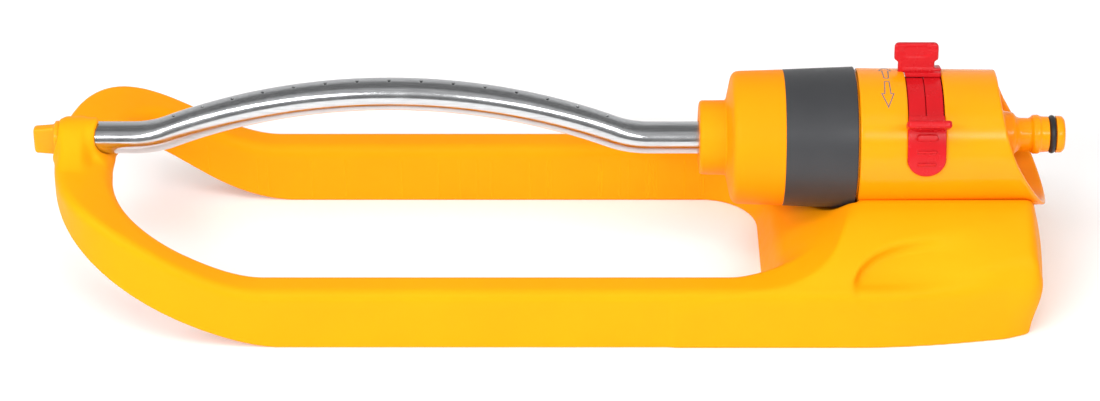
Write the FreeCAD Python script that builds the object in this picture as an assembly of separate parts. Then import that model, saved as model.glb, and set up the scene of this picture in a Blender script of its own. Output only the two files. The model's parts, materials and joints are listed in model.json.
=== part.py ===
"""Oscillating lawn sprinkler: a looped base that carries a water-driven swing motor and its bent spray tube.

Frame: +X runs from the end plug to the hose connector, +Y to the rear, +Z up. The origin lies on the ground
under the middle of the object's length. Millimetres. Parts on the motor's axis are drawn round the X axis and
then lifted by AXIS_Z. Clock angles run round +X: 0 is the rear (+Y), 90 the top, 180 the front, 270 the bottom.
"""
import FreeCAD
import Part
import math
import os

Vector = FreeCAD.Vector
AXIS = Vector(1, 0, 0)

# ---- driving dimensions ----
AXIS_Z = 65.5            # height of the spray tube's turning axis
RUN_GAP = 0.06           # radial gap of a running fit
SLIP_GAP = 0.3           # gap where parts only pass one another

# base frame
HALF_WIDTH = 66.0        # outer face of a rail
RAIL_TOP = 27.5
RAIL_WIDTH = 15.8
WALL = 2.6
LOOP_TIP_X = -215.0      # outer tip of the loop
LOOP_REACH = 68.0        # how far the curved end reaches along X
LOOP_FULLNESS = (0.94, 0.5)
OPENING_TIP_X = -191.0
OPENING_REACH = 34.0
OPENING_FULLNESS = (0.68, 0.68)
OPENING_END_X = 92.0     # where the opening ends at the ground
OPENING_LEAN = 9.0       # how far its end wall leans away over LEAN_HEIGHT
LEAN_HEIGHT = 30.0
OPENING_CORNER = 20.0
TIP_TOP = 61.5           # top and underside of the raised end
TIP_UNDER = 51.0
RISE_START_X = -120.0
RISE_END_X = -208.0
LIFT_X = (-116.0, -138.0, -178.0)   # poles of the underside's sweep up to the tip
LIFT_Z = 20.5
RAIL_ROUND = 3.0
SHOULDER_TOP = 50.5      # top of the pedestal beside the barrel
SHOULDER_HALF = 28.5
PEDESTAL_START_X = 104.0
BASE_END_X = 211.5
BOSS_R = 9.0             # bearing boss at the raised end
BOSS_X = (-213.2, -195.5)

# spray tube
TUBE_R = 7.0
TUBE_WALL = 0.8
TUBE_X = (-213.0, 96.0)
ARCH_X = -69.0           # middle of the arch
ARCH_R = 232.0
BEND_R = 40.0
ARCH_RISE = 24.0
REST_TILT = 6.6          # how far the arch leans to the front at rest
JET_COUNT = 15
JET_STEP_DEG = 3.3
JET_R = 0.6

# motor, all on the axis
CAP_X = (64.6, 100.0)
COLLAR_R = 16.2
LEDGE_CLOCK = (124.0, 132.0)   # shallow flat along the collar
CAP_R = 29.5
RING_X = (100.4, 131.8)
RING_R = (29.6, 30.8)
RING_BORE = 28.4
BARREL_X = 132.4
BARREL_R = (30.2, 29.2)
BARREL_BORE = 27.0
BARREL_LIP_X = 218.0
BULKHEAD_X = (186.0, 189.0)
HOUSING_R = (21.8, 23.6)
HOUSING_X = (104.0, 186.0)
HUB_R = 10.5
HUB_SHAFT_R = 8.0
ARM_R = (25.4, 26.5)
ARM_X = (92.0, 149.7)
SLOT_X = (152.8, 168.4)
SLOT_CLOCK = (2.0, 178.0)
GROOVE_X = (149.4, 171.6)
GROOVE_R = 28.4
TRIP_RING_X = (152.2, 169.0)
TRIP_RING_R = (24.0, 26.4)
FRONT_CLOCK = 140.5      # clock angles of the two sliders' paddles
REAR_CLOCK = 75.0
FRONT_TAIL = 56.5        # sweep of each slider's tail
REAR_TAIL = 73.0
PAD_R = (30.35, 31.5)
PAD_END = 27.2           # from paddle to the middle of the pad's rounded end
FOOT_R = (26.6, 28.1)
TAIL_R = 28.8
PADDLE_TIP_R = 42.7
REAR_PADDLE_SHIFT = -2.6

# gear train: every stage has the same pinion and wheel, on two parallel axles
MODULE = 0.4
PINION_TEETH = 14
WHEEL_TEETH = 34
PRESSURE_DEG = 25.0
BACKLASH = 0.10
AXLE_SPACING = MODULE * (PINION_TEETH + WHEEL_TEETH) / 2
LAY_CLOCK = 90.0         # the lay axle stands above the centre axle
CENTRE_AXLE_R = 1.5
LAY_AXLE_R = 1.5
STAGE_X = (124.0, 129.0, 134.0, 139.0)
GEAR_WIDTH = 3.6

# screws under the pedestal: x of each and the height of its post
SCREW_R = 1.9
SCREW_HEAD_R = 3.8
SCREW_SEAT_Z = 26.0
SCREW_POSTS = ((144.0, 14.0), (177.0, 14.0))

# joint of tube, hub and plug
DRIVE_PIN_R = 1.2
DRIVE_PIN_X = 84.0
PLUG_NECK_X = (-213.0, -205.0)
PLUG_TIP_X = -224.3

# screws between housing and cap
CAP_LUG_CLOCKS = (210.0, 330.0)
CAP_SCREW_R = 1.1
CAP_SCREW_RADIUS = 25.8

# reversing gear
SPINDLE_X = 164.5
SPINDLE_R = 1.5
CRANK_REACH = 5.0
CRANK_PIN_R = 0.9
SPRING_R = 25.2
SPRING_CLOCK = 226.0
SPRING_WIRE_R = 0.35
SPRING_PEG_X = 147.0

# turbine and shafts
TURBINE_SHAFT_R = 2.0
OUTPUT_SHAFT_R = 3.0
TURBINE_R = 17.5
TURBINE_X = (149.0, 156.0)
BLADE_COUNT = 12

# hose connector
SPIGOT_TIP_X = 223.1
INLET_LIFT = 1.6         # how far the inlet's axis lies above the motor's
SPIGOT_NOSE_R = 8.0
SEAL_GROOVE_X = (216.2, 219.4)
SPIGOT_BORE = 5.0
INLET_HOLE_R = 9.6


# ---- shape helpers ----
def turned(profile, start=0.0, sweep=360.0):
    """Revolves an (x, r) outline round the X axis, from one clock angle through a sweep."""
    points = [Vector(x, r, 0) for x, r in profile]
    face = Part.Face(Part.makePolygon(points + points[:1]))
    face.rotate(Vector(0, 0, 0), AXIS, start)
    return face.revolve(Vector(0, 0, 0), AXIS, sweep)


def ring(x0, x1, r0, r1):
    """A plain tube between two radii; r0 = 0 gives a disc."""
    tube = Part.makeCylinder(r1, x1 - x0, Vector(x0, 0, 0), AXIS)
    if r0 > 0:
        tube = tube.cut(Part.makeCylinder(r0, x1 - x0, Vector(x0, 0, 0), AXIS))
    return tube


def sector(x0, x1, r0, r1, clock0, clock1):
    return turned([(x0, r0), (x1, r0), (x1, r1), (x0, r1)], clock0, clock1 - clock0)


def polar(r, clock, x=0.0):
    a = math.radians(clock)
    return Vector(x, r * math.cos(a), r * math.sin(a))


def rod(x0, x1, r, centre=(0.0, 0.0)):
    return Part.makeCylinder(r, x1 - x0, Vector(x0, centre[0], centre[1]), AXIS)


def torus_ring(x, r, wire):
    """An O-ring: x and r place the middle of its section."""
    return Part.makeTorus(r, wire, Vector(x, 0, 0), AXIS)


def bezier(*poles):
    curve = Part.BezierCurve()
    curve.setPoles([Vector(*p) for p in poles])
    return curve.toShape()


def quarter_curve(start, corner, end, fullness=(0.5523, 0.5523)):
    """A cubic from start to end, tangent to the lines through corner; by default a quarter of an ellipse."""
    s, c, e = Vector(*start), Vector(*corner), Vector(*end)
    return bezier(s, s + (c - s) * fullness[0], e + (c - e) * fullness[1], e)


def line(a, b):
    return Part.LineSegment(Vector(*a), Vector(*b)).toShape()


def face_of(edges):
    return Part.Face(Part.Wire(Part.__sortEdges__(edges)))


def mirrored_y(shape):
    return shape.mirror(Vector(0, 0, 0), Vector(0, 1, 0))


def fuse_all(first, *rest):
    return first.multiFuse(list(rest)).removeSplitter()


def export(name, *solids, lift=True):
    """Writes one node; the parts drawn round the X axis are lifted to the motor's height."""
    shape = Part.makeCompound([s for solid in solids for s in solid.Solids])
    if lift:
        shape.translate(Vector(0, 0, AXIS_Z))
    shape.exportStep(os.path.join("parts", name + ".step"))


# ---- base frame ----
def plan_outline(inset):
    """The base's outline from above, moved inwards by inset."""
    half = HALF_WIDTH - inset
    tip = LOOP_TIP_X + inset
    bend_x = LOOP_TIP_X + LOOP_REACH
    taper_x, corner_x, corner_y = 130.0, 203.5 - inset, 58.0 - inset
    turn_x, turn_y = corner_x + 5.0, corner_y - 7.0
    end_x = BASE_END_X - inset
    side = [
        quarter_curve((tip, 0, 0), (tip, half, 0), (bend_x, half, 0), LOOP_FULLNESS),
        line((bend_x, half, 0), (taper_x, half, 0)),
        bezier((taper_x, half, 0), (160, half, 0), (185, corner_y + 2, 0), (corner_x, corner_y, 0)),
        bezier((corner_x, corner_y, 0), (turn_x, corner_y - 1, 0), (turn_x, corner_y - 3, 0), (turn_x, turn_y, 0)),
        bezier((turn_x, turn_y, 0), (end_x, 24, 0), (end_x, 12, 0), (end_x, 0, 0)),
    ]
    return face_of(side + [mirrored_y(e) for e in side])


def opening_volume(outset):
    """The opening inside the loop as a cutter, grown by outset into the rails. Its end wall leans back."""
    half = HALF_WIDTH - RAIL_WIDTH + outset
    tip = OPENING_TIP_X - outset
    bend_x = OPENING_TIP_X + OPENING_REACH
    end_x = OPENING_END_X + outset
    corner = OPENING_CORNER
    slope = OPENING_LEAN / LEAN_HEIGHT
    low = -10.0
    start, end = low * slope, (90.0 - low) * slope
    loop_side_edges = [
        quarter_curve((tip, 0, low), (tip, half, low), (bend_x, half, low), OPENING_FULLNESS),
        line((bend_x, half, low), (0, half, low)),
        line((0, half, low), (0, 0, low)),
    ]
    end_side_edges = [
        line((-80, 0, low), (-80, half, low)),
        line((-80, half, low), (end_x - corner, half, low)),
        quarter_curve((end_x - corner, half, low), (end_x, half, low), (end_x, half - corner, low)),
        line((end_x, half - corner, low), (end_x, 0, low)),
    ]
    loop_end = face_of(loop_side_edges + [mirrored_y(e) for e in loop_side_edges])
    wall_end = face_of(end_side_edges + [mirrored_y(e) for e in end_side_edges])
    wall_end.translate(Vector(start, 0, 0))
    upright_part = loop_end.extrude(Vector(0, 0, 100))
    leaning_part = wall_end.extrude(Vector(end, 0, 100))
    return upright_part.fuse(leaning_part).removeSplitter()


def upright(face):
    """Extrudes a face drawn in the plane Y = 0 across the whole width."""
    solid = face.extrude(Vector(0, 2 * HALF_WIDTH + 20, 0))
    solid.translate(Vector(0, -HALF_WIDTH - 10, 0))
    return solid


def loop_side(inset, floor):
    """The loop seen from the front: level rails and the raised end. Only the top moves by inset."""
    top, tip_top = RAIL_TOP - inset, TIP_TOP - inset
    left, right, low = LOOP_TIP_X - 5, BASE_END_X + 5, 0.0 if floor else -5.0
    third = (RISE_START_X - RISE_END_X) / 3
    edges = [
        line((left, 0, tip_top), (RISE_END_X, 0, tip_top)),
        bezier((RISE_END_X, 0, tip_top), (RISE_END_X + third, 0, tip_top),
               (RISE_START_X - third, 0, top), (RISE_START_X, 0, top)),
        line((RISE_START_X, 0, top), (right, 0, top)),
        line((right, 0, top), (right, 0, low)),
    ]
    if floor:
        edges += [
            line((right, 0, 0), (LIFT_X[0], 0, 0)),
            bezier((LIFT_X[0], 0, 0), (LIFT_X[1], 0, 0), (LIFT_X[2], 0, LIFT_Z), (LOOP_TIP_X, 0, TIP_UNDER)),
            line((LOOP_TIP_X, 0, TIP_UNDER), (left, 0, TIP_UNDER + 3)),
            line((left, 0, TIP_UNDER + 3), (left, 0, tip_top)),
        ]
    else:
        edges += [line((right, 0, low), (left, 0, low)), line((left, 0, low), (left, 0, tip_top))]
    return upright(face_of(edges))


def loop_volume(inset, floor):
    """The loop's outer form (inset 0), or the hollow that is open towards the ground."""
    plan = plan_outline(inset).extrude(Vector(0, 0, 95))
    plan.translate(Vector(0, 0, -5))
    plan = plan.cut(opening_volume(inset))
    return plan.common(loop_side(inset, floor)).removeSplitter()


def pedestal_volume(inset, floor):
    """Block under the motor: an S-curved front and sides that lean in to the shoulders."""
    half, shoulder_half, top = HALF_WIDTH - inset, SHOULDER_HALF - inset, SHOULDER_TOP - inset
    rail = RAIL_TOP - inset
    x, low, right = PEDESTAL_START_X + inset, 0.0 if floor else -5.0, BASE_END_X + 5
    side = upright(face_of([
        line((x, 0, low), (x, 0, rail)),
        bezier((x, 0, rail), (x + 19, 0, rail), (x + 8, 0, top), (x + 34, 0, top)),
        line((x + 34, 0, top), (right, 0, top)),
        line((right, 0, top), (right, 0, low)),
        line((right, 0, low), (x, 0, low)),
    ]))
    flank = [
        line((x, half, low), (x, half, 18)),
        bezier((x, half, 18), (x, half, 34), (x, 48 - inset, top - 4), (x, shoulder_half, top)),
        line((x, shoulder_half, top), (x, 0, top)),
        line((x, half, low), (x, 0, low)),
    ]
    section = face_of(flank + [mirrored_y(e) for e in flank]).extrude(Vector(right - x, 0, 0))
    plan = plan_outline(inset).extrude(Vector(0, 0, 90))
    plan.translate(Vector(0, 0, low))
    return side.common(section).common(plan)


def rounded_rails(body):
    """Rounds the loop's upper edges, outside and inside."""
    edges = []
    for edge in body.Edges:
        box = edge.BoundBox
        on_top = min(p.z for p in edge.discretize(5)) > RAIL_TOP - 0.2
        upright_or_across = box.ZLength > 10 * box.XLength or box.XLength < 0.01 and box.XMin < 0
        if on_top and not upright_or_across:
            edges.append(edge)
    return body.makeFillet(RAIL_ROUND, edges)


def base_frame():
    loop = rounded_rails(loop_volume(0.0, floor=True))
    loop = loop.common(Part.makeBox(400, 200, 100, Vector(PEDESTAL_START_X - 399, -100, -1)))
    body = loop.fuse(pedestal_volume(0.0, floor=True))
    hollow = loop_volume(WALL, floor=False).fuse(pedestal_volume(WALL, floor=False))
    cradle_skin = rod(CAP_X[0], BASE_END_X + 5, RING_R[1] + 1.4 + WALL)
    cradle_skin.translate(Vector(0, 0, AXIS_Z))
    body = body.cut(hollow.cut(cradle_skin))
    boss = ring(BOSS_X[0], BOSS_X[1], 0, BOSS_R)
    boss_root = ring(BOSS_X[0] + 3, BOSS_X[1], 0, BOSS_R + 1.5)
    for piece in (boss, boss_root):
        piece.translate(Vector(0, 0, AXIS_Z))
    root_limit = Part.makeBox(40, 60, TIP_TOP - 2, Vector(-216, -30, 0))
    body = body.fuse(boss).fuse(boss_root.common(root_limit))
    for x, depth in SCREW_POSTS:
        post = Part.makeCylinder(5.0, depth, Vector(x, 0, AXIS_Z - BARREL_R[0] - depth + 2))
        body = body.fuse(post)
    bearing = rod(BOSS_X[0] - 5, BOSS_X[1] + 5, TUBE_R + RUN_GAP)
    cradle = rod(BARREL_X - 0.4, BARREL_LIP_X + 5, BARREL_R[0])
    ring_room = rod(CAP_X[0] - 5, BARREL_X, RING_R[1] + 1.4)
    for tool in (bearing, cradle, ring_room):
        tool.translate(Vector(0, 0, AXIS_Z))
        body = body.cut(tool)
    for x, depth in SCREW_POSTS:
        body = body.cut(Part.makeCylinder(SCREW_R + SLIP_GAP, 40, Vector(x, 0, 0)))
        head_room = Part.makeCylinder(SCREW_HEAD_R + SLIP_GAP, 40, Vector(x, 0, -40 + SCREW_SEAT_Z))
        body = body.cut(head_room)
    return body.removeSplitter()


def base_screws():
    """Two pan-head screws that come up through the pedestal into the barrel."""
    top_z = AXIS_Z - BARREL_BORE + 2.6
    screws = []
    for x, _ in SCREW_POSTS:
        shank = Part.makeCylinder(SCREW_R, top_z - SCREW_SEAT_Z, Vector(x, 0, SCREW_SEAT_Z))
        head = Part.makeCylinder(SCREW_HEAD_R, 2.6, Vector(x, 0, SCREW_SEAT_Z - 2.6))
        head = head.makeFillet(1.0, [head.Edges[2] if head.Edges[2].Closed else head.Edges[0]])
        cross = Part.makeBox(4.4, 1.0, 1.4, Vector(x - 2.2, -0.5, SCREW_SEAT_Z - 2.6))
        screws.append(shank.fuse(head).cut(cross).cut(turned_about(cross, x)))
    return screws


def turned_about(shape, x):
    turned_shape = shape.copy()
    turned_shape.rotate(Vector(x, 0, 0), Vector(0, 0, 1), 90)
    return turned_shape


# ---- spray tube and its end plug ----
def tube_path():
    """Straight ends, two easy bends and one long arch, in the plane Y = 0."""
    angle = math.acos(1 - ARCH_RISE / (ARCH_R + BEND_R))
    reach = (ARCH_R + BEND_R) * math.sin(angle)
    crown_z = ARCH_RISE
    joint_dx, joint_z = ARCH_R * math.sin(angle), crown_z - ARCH_R * (1 - math.cos(angle))
    half = angle / 2
    bend_mid = (BEND_R * math.sin(half), BEND_R * (1 - math.cos(half)))

    def arc(a, b, c):
        return Part.Arc(Vector(*a), Vector(*b), Vector(*c)).toShape()

    left, right = ARCH_X - reach, ARCH_X + reach
    return Part.Wire([
        line((TUBE_X[0], 0, 0), (left, 0, 0)),
        arc((left, 0, 0), (left + bend_mid[0], 0, bend_mid[1]), (ARCH_X - joint_dx, 0, joint_z)),
        arc((ARCH_X - joint_dx, 0, joint_z), (ARCH_X, 0, crown_z), (ARCH_X + joint_dx, 0, joint_z)),
        arc((ARCH_X + joint_dx, 0, joint_z), (right - bend_mid[0], 0, bend_mid[1]), (right, 0, 0)),
        line((right, 0, 0), (TUBE_X[1], 0, 0)),
    ])


def swept_circle(path, r):
    profile = Part.Wire(Part.makeCircle(r, Vector(TUBE_X[0], 0, 0), AXIS))
    return path.makePipeShell([profile], True, True)


def spray_tube():
    path = tube_path()
    tube = swept_circle(path, TUBE_R).cut(swept_circle(path, TUBE_R - TUBE_WALL))
    centre = Vector(ARCH_X, 0, ARCH_RISE - ARCH_R)
    for i in range(JET_COUNT):
        angle = math.radians(JET_STEP_DEG * (i - (JET_COUNT - 1) / 2))
        way = Vector(math.sin(angle), 0, math.cos(angle))
        tube = tube.cut(Part.makeCylinder(JET_R, 8, centre + way * (ARCH_R + 2), way))
    tube.rotate(Vector(0, 0, 0), AXIS, REST_TILT)
    return tube.cut(Part.makeCylinder(DRIVE_PIN_R, 40, Vector(DRIVE_PIN_X, 0, -20)))


def end_plug():
    """Push-in plug with a flat finger grip; its neck carries the seal and holds the cleaning pin."""
    bore = TUBE_R - TUBE_WALL
    x0, x1 = PLUG_NECK_X
    neck = turned([(x0, 0), (x0, bore - 0.1), (-210.6, bore - 0.1), (-210.6, bore - 1.3), (-208.4, bore - 1.3),
                   (-208.4, bore - 0.1), (x1 - 0.6, bore - 0.1), (x1, bore - 0.6), (x1, 0)])
    head = turned([(-215.6, 0), (-215.6, 6.3), (-215.0, 6.9), (-213.0, 6.9), (-213.0, 0)])
    grip = Part.makeBox(11.2, 4.4, 13.2, Vector(PLUG_TIP_X, -2.2, -6.6))
    grip = grip.makeFillet(1.4, [e for e in grip.Edges if e.BoundBox.XMax < PLUG_TIP_X + 0.1])
    plug = fuse_all(neck, head, grip)
    return plug.cut(rod(-209.5, -204.0, 0.9))


def cleaning_pin():
    """Steel wire for clearing the jets, moulded into the plug's neck."""
    shank = rod(-209.5, -194.0, 0.9)
    point = turned([(-194.0, 0), (-194.0, 0.9), (-192.5, 0.45), (-186.0, 0.45), (-185.0, 0)])
    return shank.fuse(point)


def plug_seal():
    bore = TUBE_R - TUBE_WALL
    return torus_ring(-209.5, bore - 0.65, 0.62)


# ---- front cap, flow ring and barrel ----
def front_cap():
    """Stepped dome: the collar the tube enters, a sloping face, and the drum that meets the flow ring."""
    x0, x1 = CAP_X
    shell = turned([
        (x0, TUBE_R + SLIP_GAP), (x0, COLLAR_R - 1.2), (x0 + 0.4, COLLAR_R - 0.35), (x0 + 1.2, COLLAR_R),
        (76.0, COLLAR_R), (76.8, COLLAR_R + 1.0), (78.6, 25.4), (79.2, 27.2), (80.4, 28.3), (82.0, 28.7),
        (x1 - 0.6, CAP_R), (x1, CAP_R - 0.6), (x1, RING_BORE - 0.1), (x1 + 2.6, RING_BORE - 0.1),
        (x1 + 2.6, BARREL_BORE), (88.0, BARREL_BORE - 0.2), (83.0, 26.0), (80.8, 22.5), (79.2, HUB_R + 2.6),
        (89.0, HUB_R + 2.6), (89.0, HUB_R + RUN_GAP), (79.4, HUB_R + RUN_GAP), (79.4, TUBE_R + SLIP_GAP),
    ])
    for clock in CAP_LUG_CLOCKS:
        lug = sector(96.0, 103.6, 24.6, BARREL_BORE + 0.4, clock - 7, clock + 7)
        shell = shell.fuse(lug)
        hole = Part.makeCylinder(CAP_SCREW_R, 12, polar(CAP_SCREW_RADIUS, clock, 96.8), AXIS)
        shell = shell.cut(hole)
    ledge = sector(x0 - 1, 76.0, COLLAR_R - 0.8, COLLAR_R + 2, *LEDGE_CLOCK)
    return shell.cut(ledge).removeSplitter()


def cap_screws():
    """Two screws that come through the housing's ears into the cap's lugs."""
    screws = []
    for clock in CAP_LUG_CLOCKS:
        at = polar(CAP_SCREW_RADIUS, clock)
        shank = rod(97.2, 106.0, CAP_SCREW_R, (at.y, at.z))
        head = rod(106.0, 107.6, 1.9, (at.y, at.z))
        slot = Part.makeBox(1.0, 4.4, 0.6, Vector(106.8, at.y - 2.2, at.z - 0.3))
        screws.append(shank.fuse(head).cut(slot))
    return screws


def flow_ring():
    """Knurl-free grip ring, slightly conical, with the key that turns the flow sleeve."""
    x0, x1 = RING_X
    r0, r1 = RING_R
    bore = RING_BORE
    body = turned([(x0, bore), (x0, r0 - 0.5), (x0 + 0.5, r0), (x1 - 0.5, r1), (x1, r1 - 0.5), (x1, bore)])
    key = sector(114.0, 127.0, 25.5, RING_BORE + 0.4, 266.5, 273.5)
    return body.fuse(key)


def flow_sleeve():
    """Rotary throttle round the housing: its pockets bridge the housing's two rows of ports."""
    body = turned([
        (109.0, 23.9), (109.0, 25.1), (131.8, 25.1), (131.8, 23.9), (131.1, 23.9), (131.1, 24.5),
        (129.3, 24.5), (129.3, 23.9), (111.5, 23.9), (111.5, 24.5), (109.7, 24.5), (109.7, 23.9),
    ])
    for k in range(4):
        pocket = sector(112.6, 128.4, 23.0, 24.4, 90 * k + 28, 90 * k + 62)
        body = body.cut(pocket)
    for clock in (264.0, 276.0):
        rib = sector(114.0, 127.0, 25.0, 26.3, clock - 2.0, clock + 2.0)
        body = body.fuse(rib)
    return body.removeSplitter()


def valve_seals():
    return [turned_o_ring(x, 23.62, 24.48) for x in (110.6, 130.2)]


def turned_o_ring(x, r0, r1):
    """A seal squeezed between two radii, with a rounded section as wide as the gap allows."""
    mid, wire = (r0 + r1) / 2, (r1 - r0) / 2
    return torus_ring(x, mid, wire)


def barrel_cut():
    """The barrel's open end is cut back in a long concave slope, and keeps a lip underneath."""
    top, low, far = 33.0, -33.0, BARREL_LIP_X + 12
    slope = [(192.0, top), (192.6, 26.0), (194.8, 15.0), (202.4, -4.5), (211.6, -20.0), (BARREL_LIP_X + 0.5, low)]
    edge = Part.BSplineCurve()
    edge.interpolate([Vector(x, 0, z) for x, z in slope])
    face = face_of([
        edge.toShape(),
        line((BARREL_LIP_X + 0.5, 0, low), (far, 0, low)),
        line((far, 0, low), (far, 0, top)),
        line((far, 0, top), (192.0, 0, top)),
    ])
    cutter = face.extrude(Vector(0, 80, 0))
    cutter.translate(Vector(0, -40, 0))
    return cutter


def rear_barrel():
    """Fixed casing, slotted for the two sliders, with a bulkhead and an end that is cut to a slope."""
    (r0, r1), bore = BARREL_R, BARREL_BORE
    x0, wall_x0, wall_x1, lip_x = BARREL_X, BULKHEAD_X[0], BULKHEAD_X[1], BARREL_LIP_X
    tube = turned([
        (x0 - 3, bore), (x0 - 3, RING_BORE - 0.1), (x0, RING_BORE - 0.1), (x0, r0 - 0.5), (x0 + 0.5, r0),
        (lip_x, r1), (lip_x, bore - 0.4), (wall_x1 + 1.5, bore - 0.2), (wall_x1, bore - 1.5), (wall_x1, 0),
        (wall_x0, 0), (wall_x0, bore),
    ])
    tube = tube.cut(barrel_cut())
    tube = tube.cut(ring(GROOVE_X[0], GROOVE_X[1], bore - 1, GROOVE_R))
    tube = tube.cut(sector(SLOT_X[0], SLOT_X[1], bore - 1, 34, *SLOT_CLOCK))
    for x, _ in SCREW_POSTS:
        pad = Part.makeCylinder(4.2, 4.6, Vector(x, 0, -bore - 1.4))
        tube = tube.fuse(pad.cut(rod(x - 10, x + 10, HOUSING_R[1] + 0.2)))
        tube = tube.cut(Part.makeCylinder(SCREW_R, 12, Vector(x, 0, -34)))
    return tube.cut(rod(wall_x0 - 1, wall_x1 + 1, INLET_HOLE_R, (0, INLET_LIFT))).removeSplitter()


# ---- sliders and reversing gear ----
def slider(at, side, tail_sweep, paddle_shift):
    """Limit slider: ribbed thumb pad, paddle, foot in the barrel's groove, claw on the trip ring and tail.

    at is the paddle's clock angle, side is -1 for the slider that keeps to the slot's left half and pads to
    the front, +1 for the right half with its pad to the rear. The half-width tail sweeps the other way.
    """
    x0, x1 = SLOT_X
    mid = (x0 + x1) / 2
    if side < 0:
        half = (x0 + 0.3, mid - 0.12)
        foot_x = (GROOVE_X[0] + 0.6, half[1])
        claw_x = (foot_x[0], TRIP_RING_X[0] - 0.15)
    else:
        half = (mid + 0.12, x1 - 0.3)
        foot_x = (half[0], GROOVE_X[1] - 0.6)
        claw_x = (TRIP_RING_X[1] + 0.15, foot_x[1])
    lean = -side

    def span(a, b):
        return min(at + lean * a, at + lean * b), max(at + lean * a, at + lean * b)

    pad = sector(x0 - 0.05, x1 + 0.25, PAD_R[0], PAD_R[1], *span(-3.5, 42.0))
    end_clock = at + lean * PAD_END
    round_end = Part.makeCylinder(8.0, 20, polar(20, end_clock, mid + 0.1), polar(1, end_clock))
    pad = pad.common(sector(x0 - 2, x1 + 2, 29, 33, *span(-4, PAD_END)).fuse(round_end))
    neck = sector(half[0], half[1], FOOT_R[0], PAD_R[0] + 0.5, *span(-3.5, 3.5))
    filler = sector(x0 + 0.3, x1 - 0.3, TAIL_R + 0.3, PAD_R[0] + 0.5, *span(-3.5, 8.0))
    foot = sector(foot_x[0], foot_x[1], FOOT_R[0], FOOT_R[1], *span(-3.5, 3.5))
    claw = sector(claw_x[0], claw_x[1], 24.9, FOOT_R[0] + 0.2, *span(-3.5, 3.5))
    tail = sector(half[0], half[1], FOOT_R[0], TAIL_R, *span(-tail_sweep, 0))
    ribs = [pad_rib(mid, at + lean * a, PAD_R[1]) for a in (15.5, 22.5, 29.5)]
    return fuse_all(pad, neck, filler, foot, claw, tail, slider_paddle(mid + paddle_shift, at), *ribs)


def slider_paddle(mid, at):
    """Finger paddle standing square to the slot: a narrow neck under a wider blade with cut corners."""
    blade_half, neck_half, thick = 9.4, 7.4, 1.7
    root, waist, shoulder, tip = 30.6, 34.2, 35.2, PADDLE_TIP_R
    right = [(neck_half, root), (neck_half, waist), (blade_half, shoulder), (blade_half, tip - 1.6),
             (blade_half - 1.6, tip)]
    outline = right + [(-x, r) for x, r in reversed(right)]
    points = [Vector(mid + x, -thick / 2, r) for x, r in outline]
    blade = Part.Face(Part.makePolygon(points + points[:1])).extrude(Vector(0, thick, 0))
    blade.rotate(Vector(0, 0, 0), AXIS, at - 90)
    return blade


def pad_rib(mid, clock, r):
    half_length, radius = 4.2, 0.75
    bar = rod(mid - half_length, mid + half_length, radius, (r - 0.25, 0))
    ends = [Part.makeSphere(radius, Vector(mid + s * half_length, r - 0.25, 0)) for s in (-1, 1)]
    rib = fuse_all(bar, *ends)
    rib.rotate(Vector(0, 0, 0), AXIS, clock)
    return rib


def trip_ring():
    """Rocking ring that carries both sliders; a slot at its foot drives the deflector's crank."""
    body = ring(TRIP_RING_X[0], TRIP_RING_X[1], *TRIP_RING_R)
    for k in range(-14, 15):
        notch = rod(TRIP_RING_X[0] - 1, TRIP_RING_X[1] + 1, 0.35, (0, TRIP_RING_R[1]))
        notch.rotate(Vector(0, 0, 0), AXIS, 4.5 * k)
        body = body.cut(notch)
    crank_slot = Part.makeBox(5.0, 2 * (CRANK_PIN_R + 0.35), 6, Vector(157.6, -CRANK_PIN_R - 0.35, -28))
    spindle_room = Part.makeBox(10.0, 11.6, 6, Vector(161.4, -5.8, -28))
    spring_hole = rod(TRIP_RING_X[0] - 1, TRIP_RING_X[0] + 3, SPRING_WIRE_R + 0.05)
    spring_hole.translate(polar(SPRING_R, SPRING_CLOCK))
    return body.cut(crank_slot).cut(spindle_room).cut(spring_hole)


def deflector():
    """Vane in the inlet stream: turning it sends the jet to one side of the turbine or the other."""
    x = SPINDLE_X
    spindle = Part.makeCylinder(SPINDLE_R, 15.4, Vector(x, 0, -27.0))
    vane = Part.makeBox(11.0, 1.2, 9.5, Vector(x - 6.5, -0.6, -20.8))
    return spindle.fuse(vane)


def trip_crank():
    """Crank pressed on the deflector's spindle outside the housing; its pin reaches into the ring's slot."""
    x = SPINDLE_X
    hub = Part.makeCylinder(2.4, 3.5, Vector(x, 0, -27.9))
    web = Part.makeBox(CRANK_REACH, 2.2, 1.1, Vector(x - CRANK_REACH, -1.1, -27.9))
    pin = Part.makeCylinder(CRANK_PIN_R, 3.6, Vector(x - CRANK_REACH, 0, -27.9))
    return fuse_all(hub, web, pin).cut(Part.makeCylinder(SPINDLE_R, 3.0, Vector(x, 0, -27.0)))


def toggle_spring():
    """Over-centre wire spring from a hole in the trip ring to a peg on the housing."""
    r, clock, x = SPRING_R, SPRING_CLOCK, TRIP_RING_X[0]
    start = polar(r, clock, x + 2.4)
    knee = polar(r, clock, x - 1.2)
    bend = [polar(r, clock + 1.2, x - 3.6), polar(r, clock + 6, x - 8.2), polar(r, clock + 11.8, x - 7.4)]
    far = polar(r, clock + 13, SPRING_PEG_X - 0.3)
    curve = Part.BSplineCurve()
    curve.interpolate([knee] + bend + [far], False, 1e-5, Vector(-1, 0, 0), Vector(1, 0, 0))
    path = Part.Wire([line(start, knee), curve.toShape(), line(far, far + Vector(4.0, 0, 0))])
    circle = Part.Wire(Part.makeCircle(SPRING_WIRE_R, start, AXIS))
    return path.makePipeShell([circle], True, True)


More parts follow.
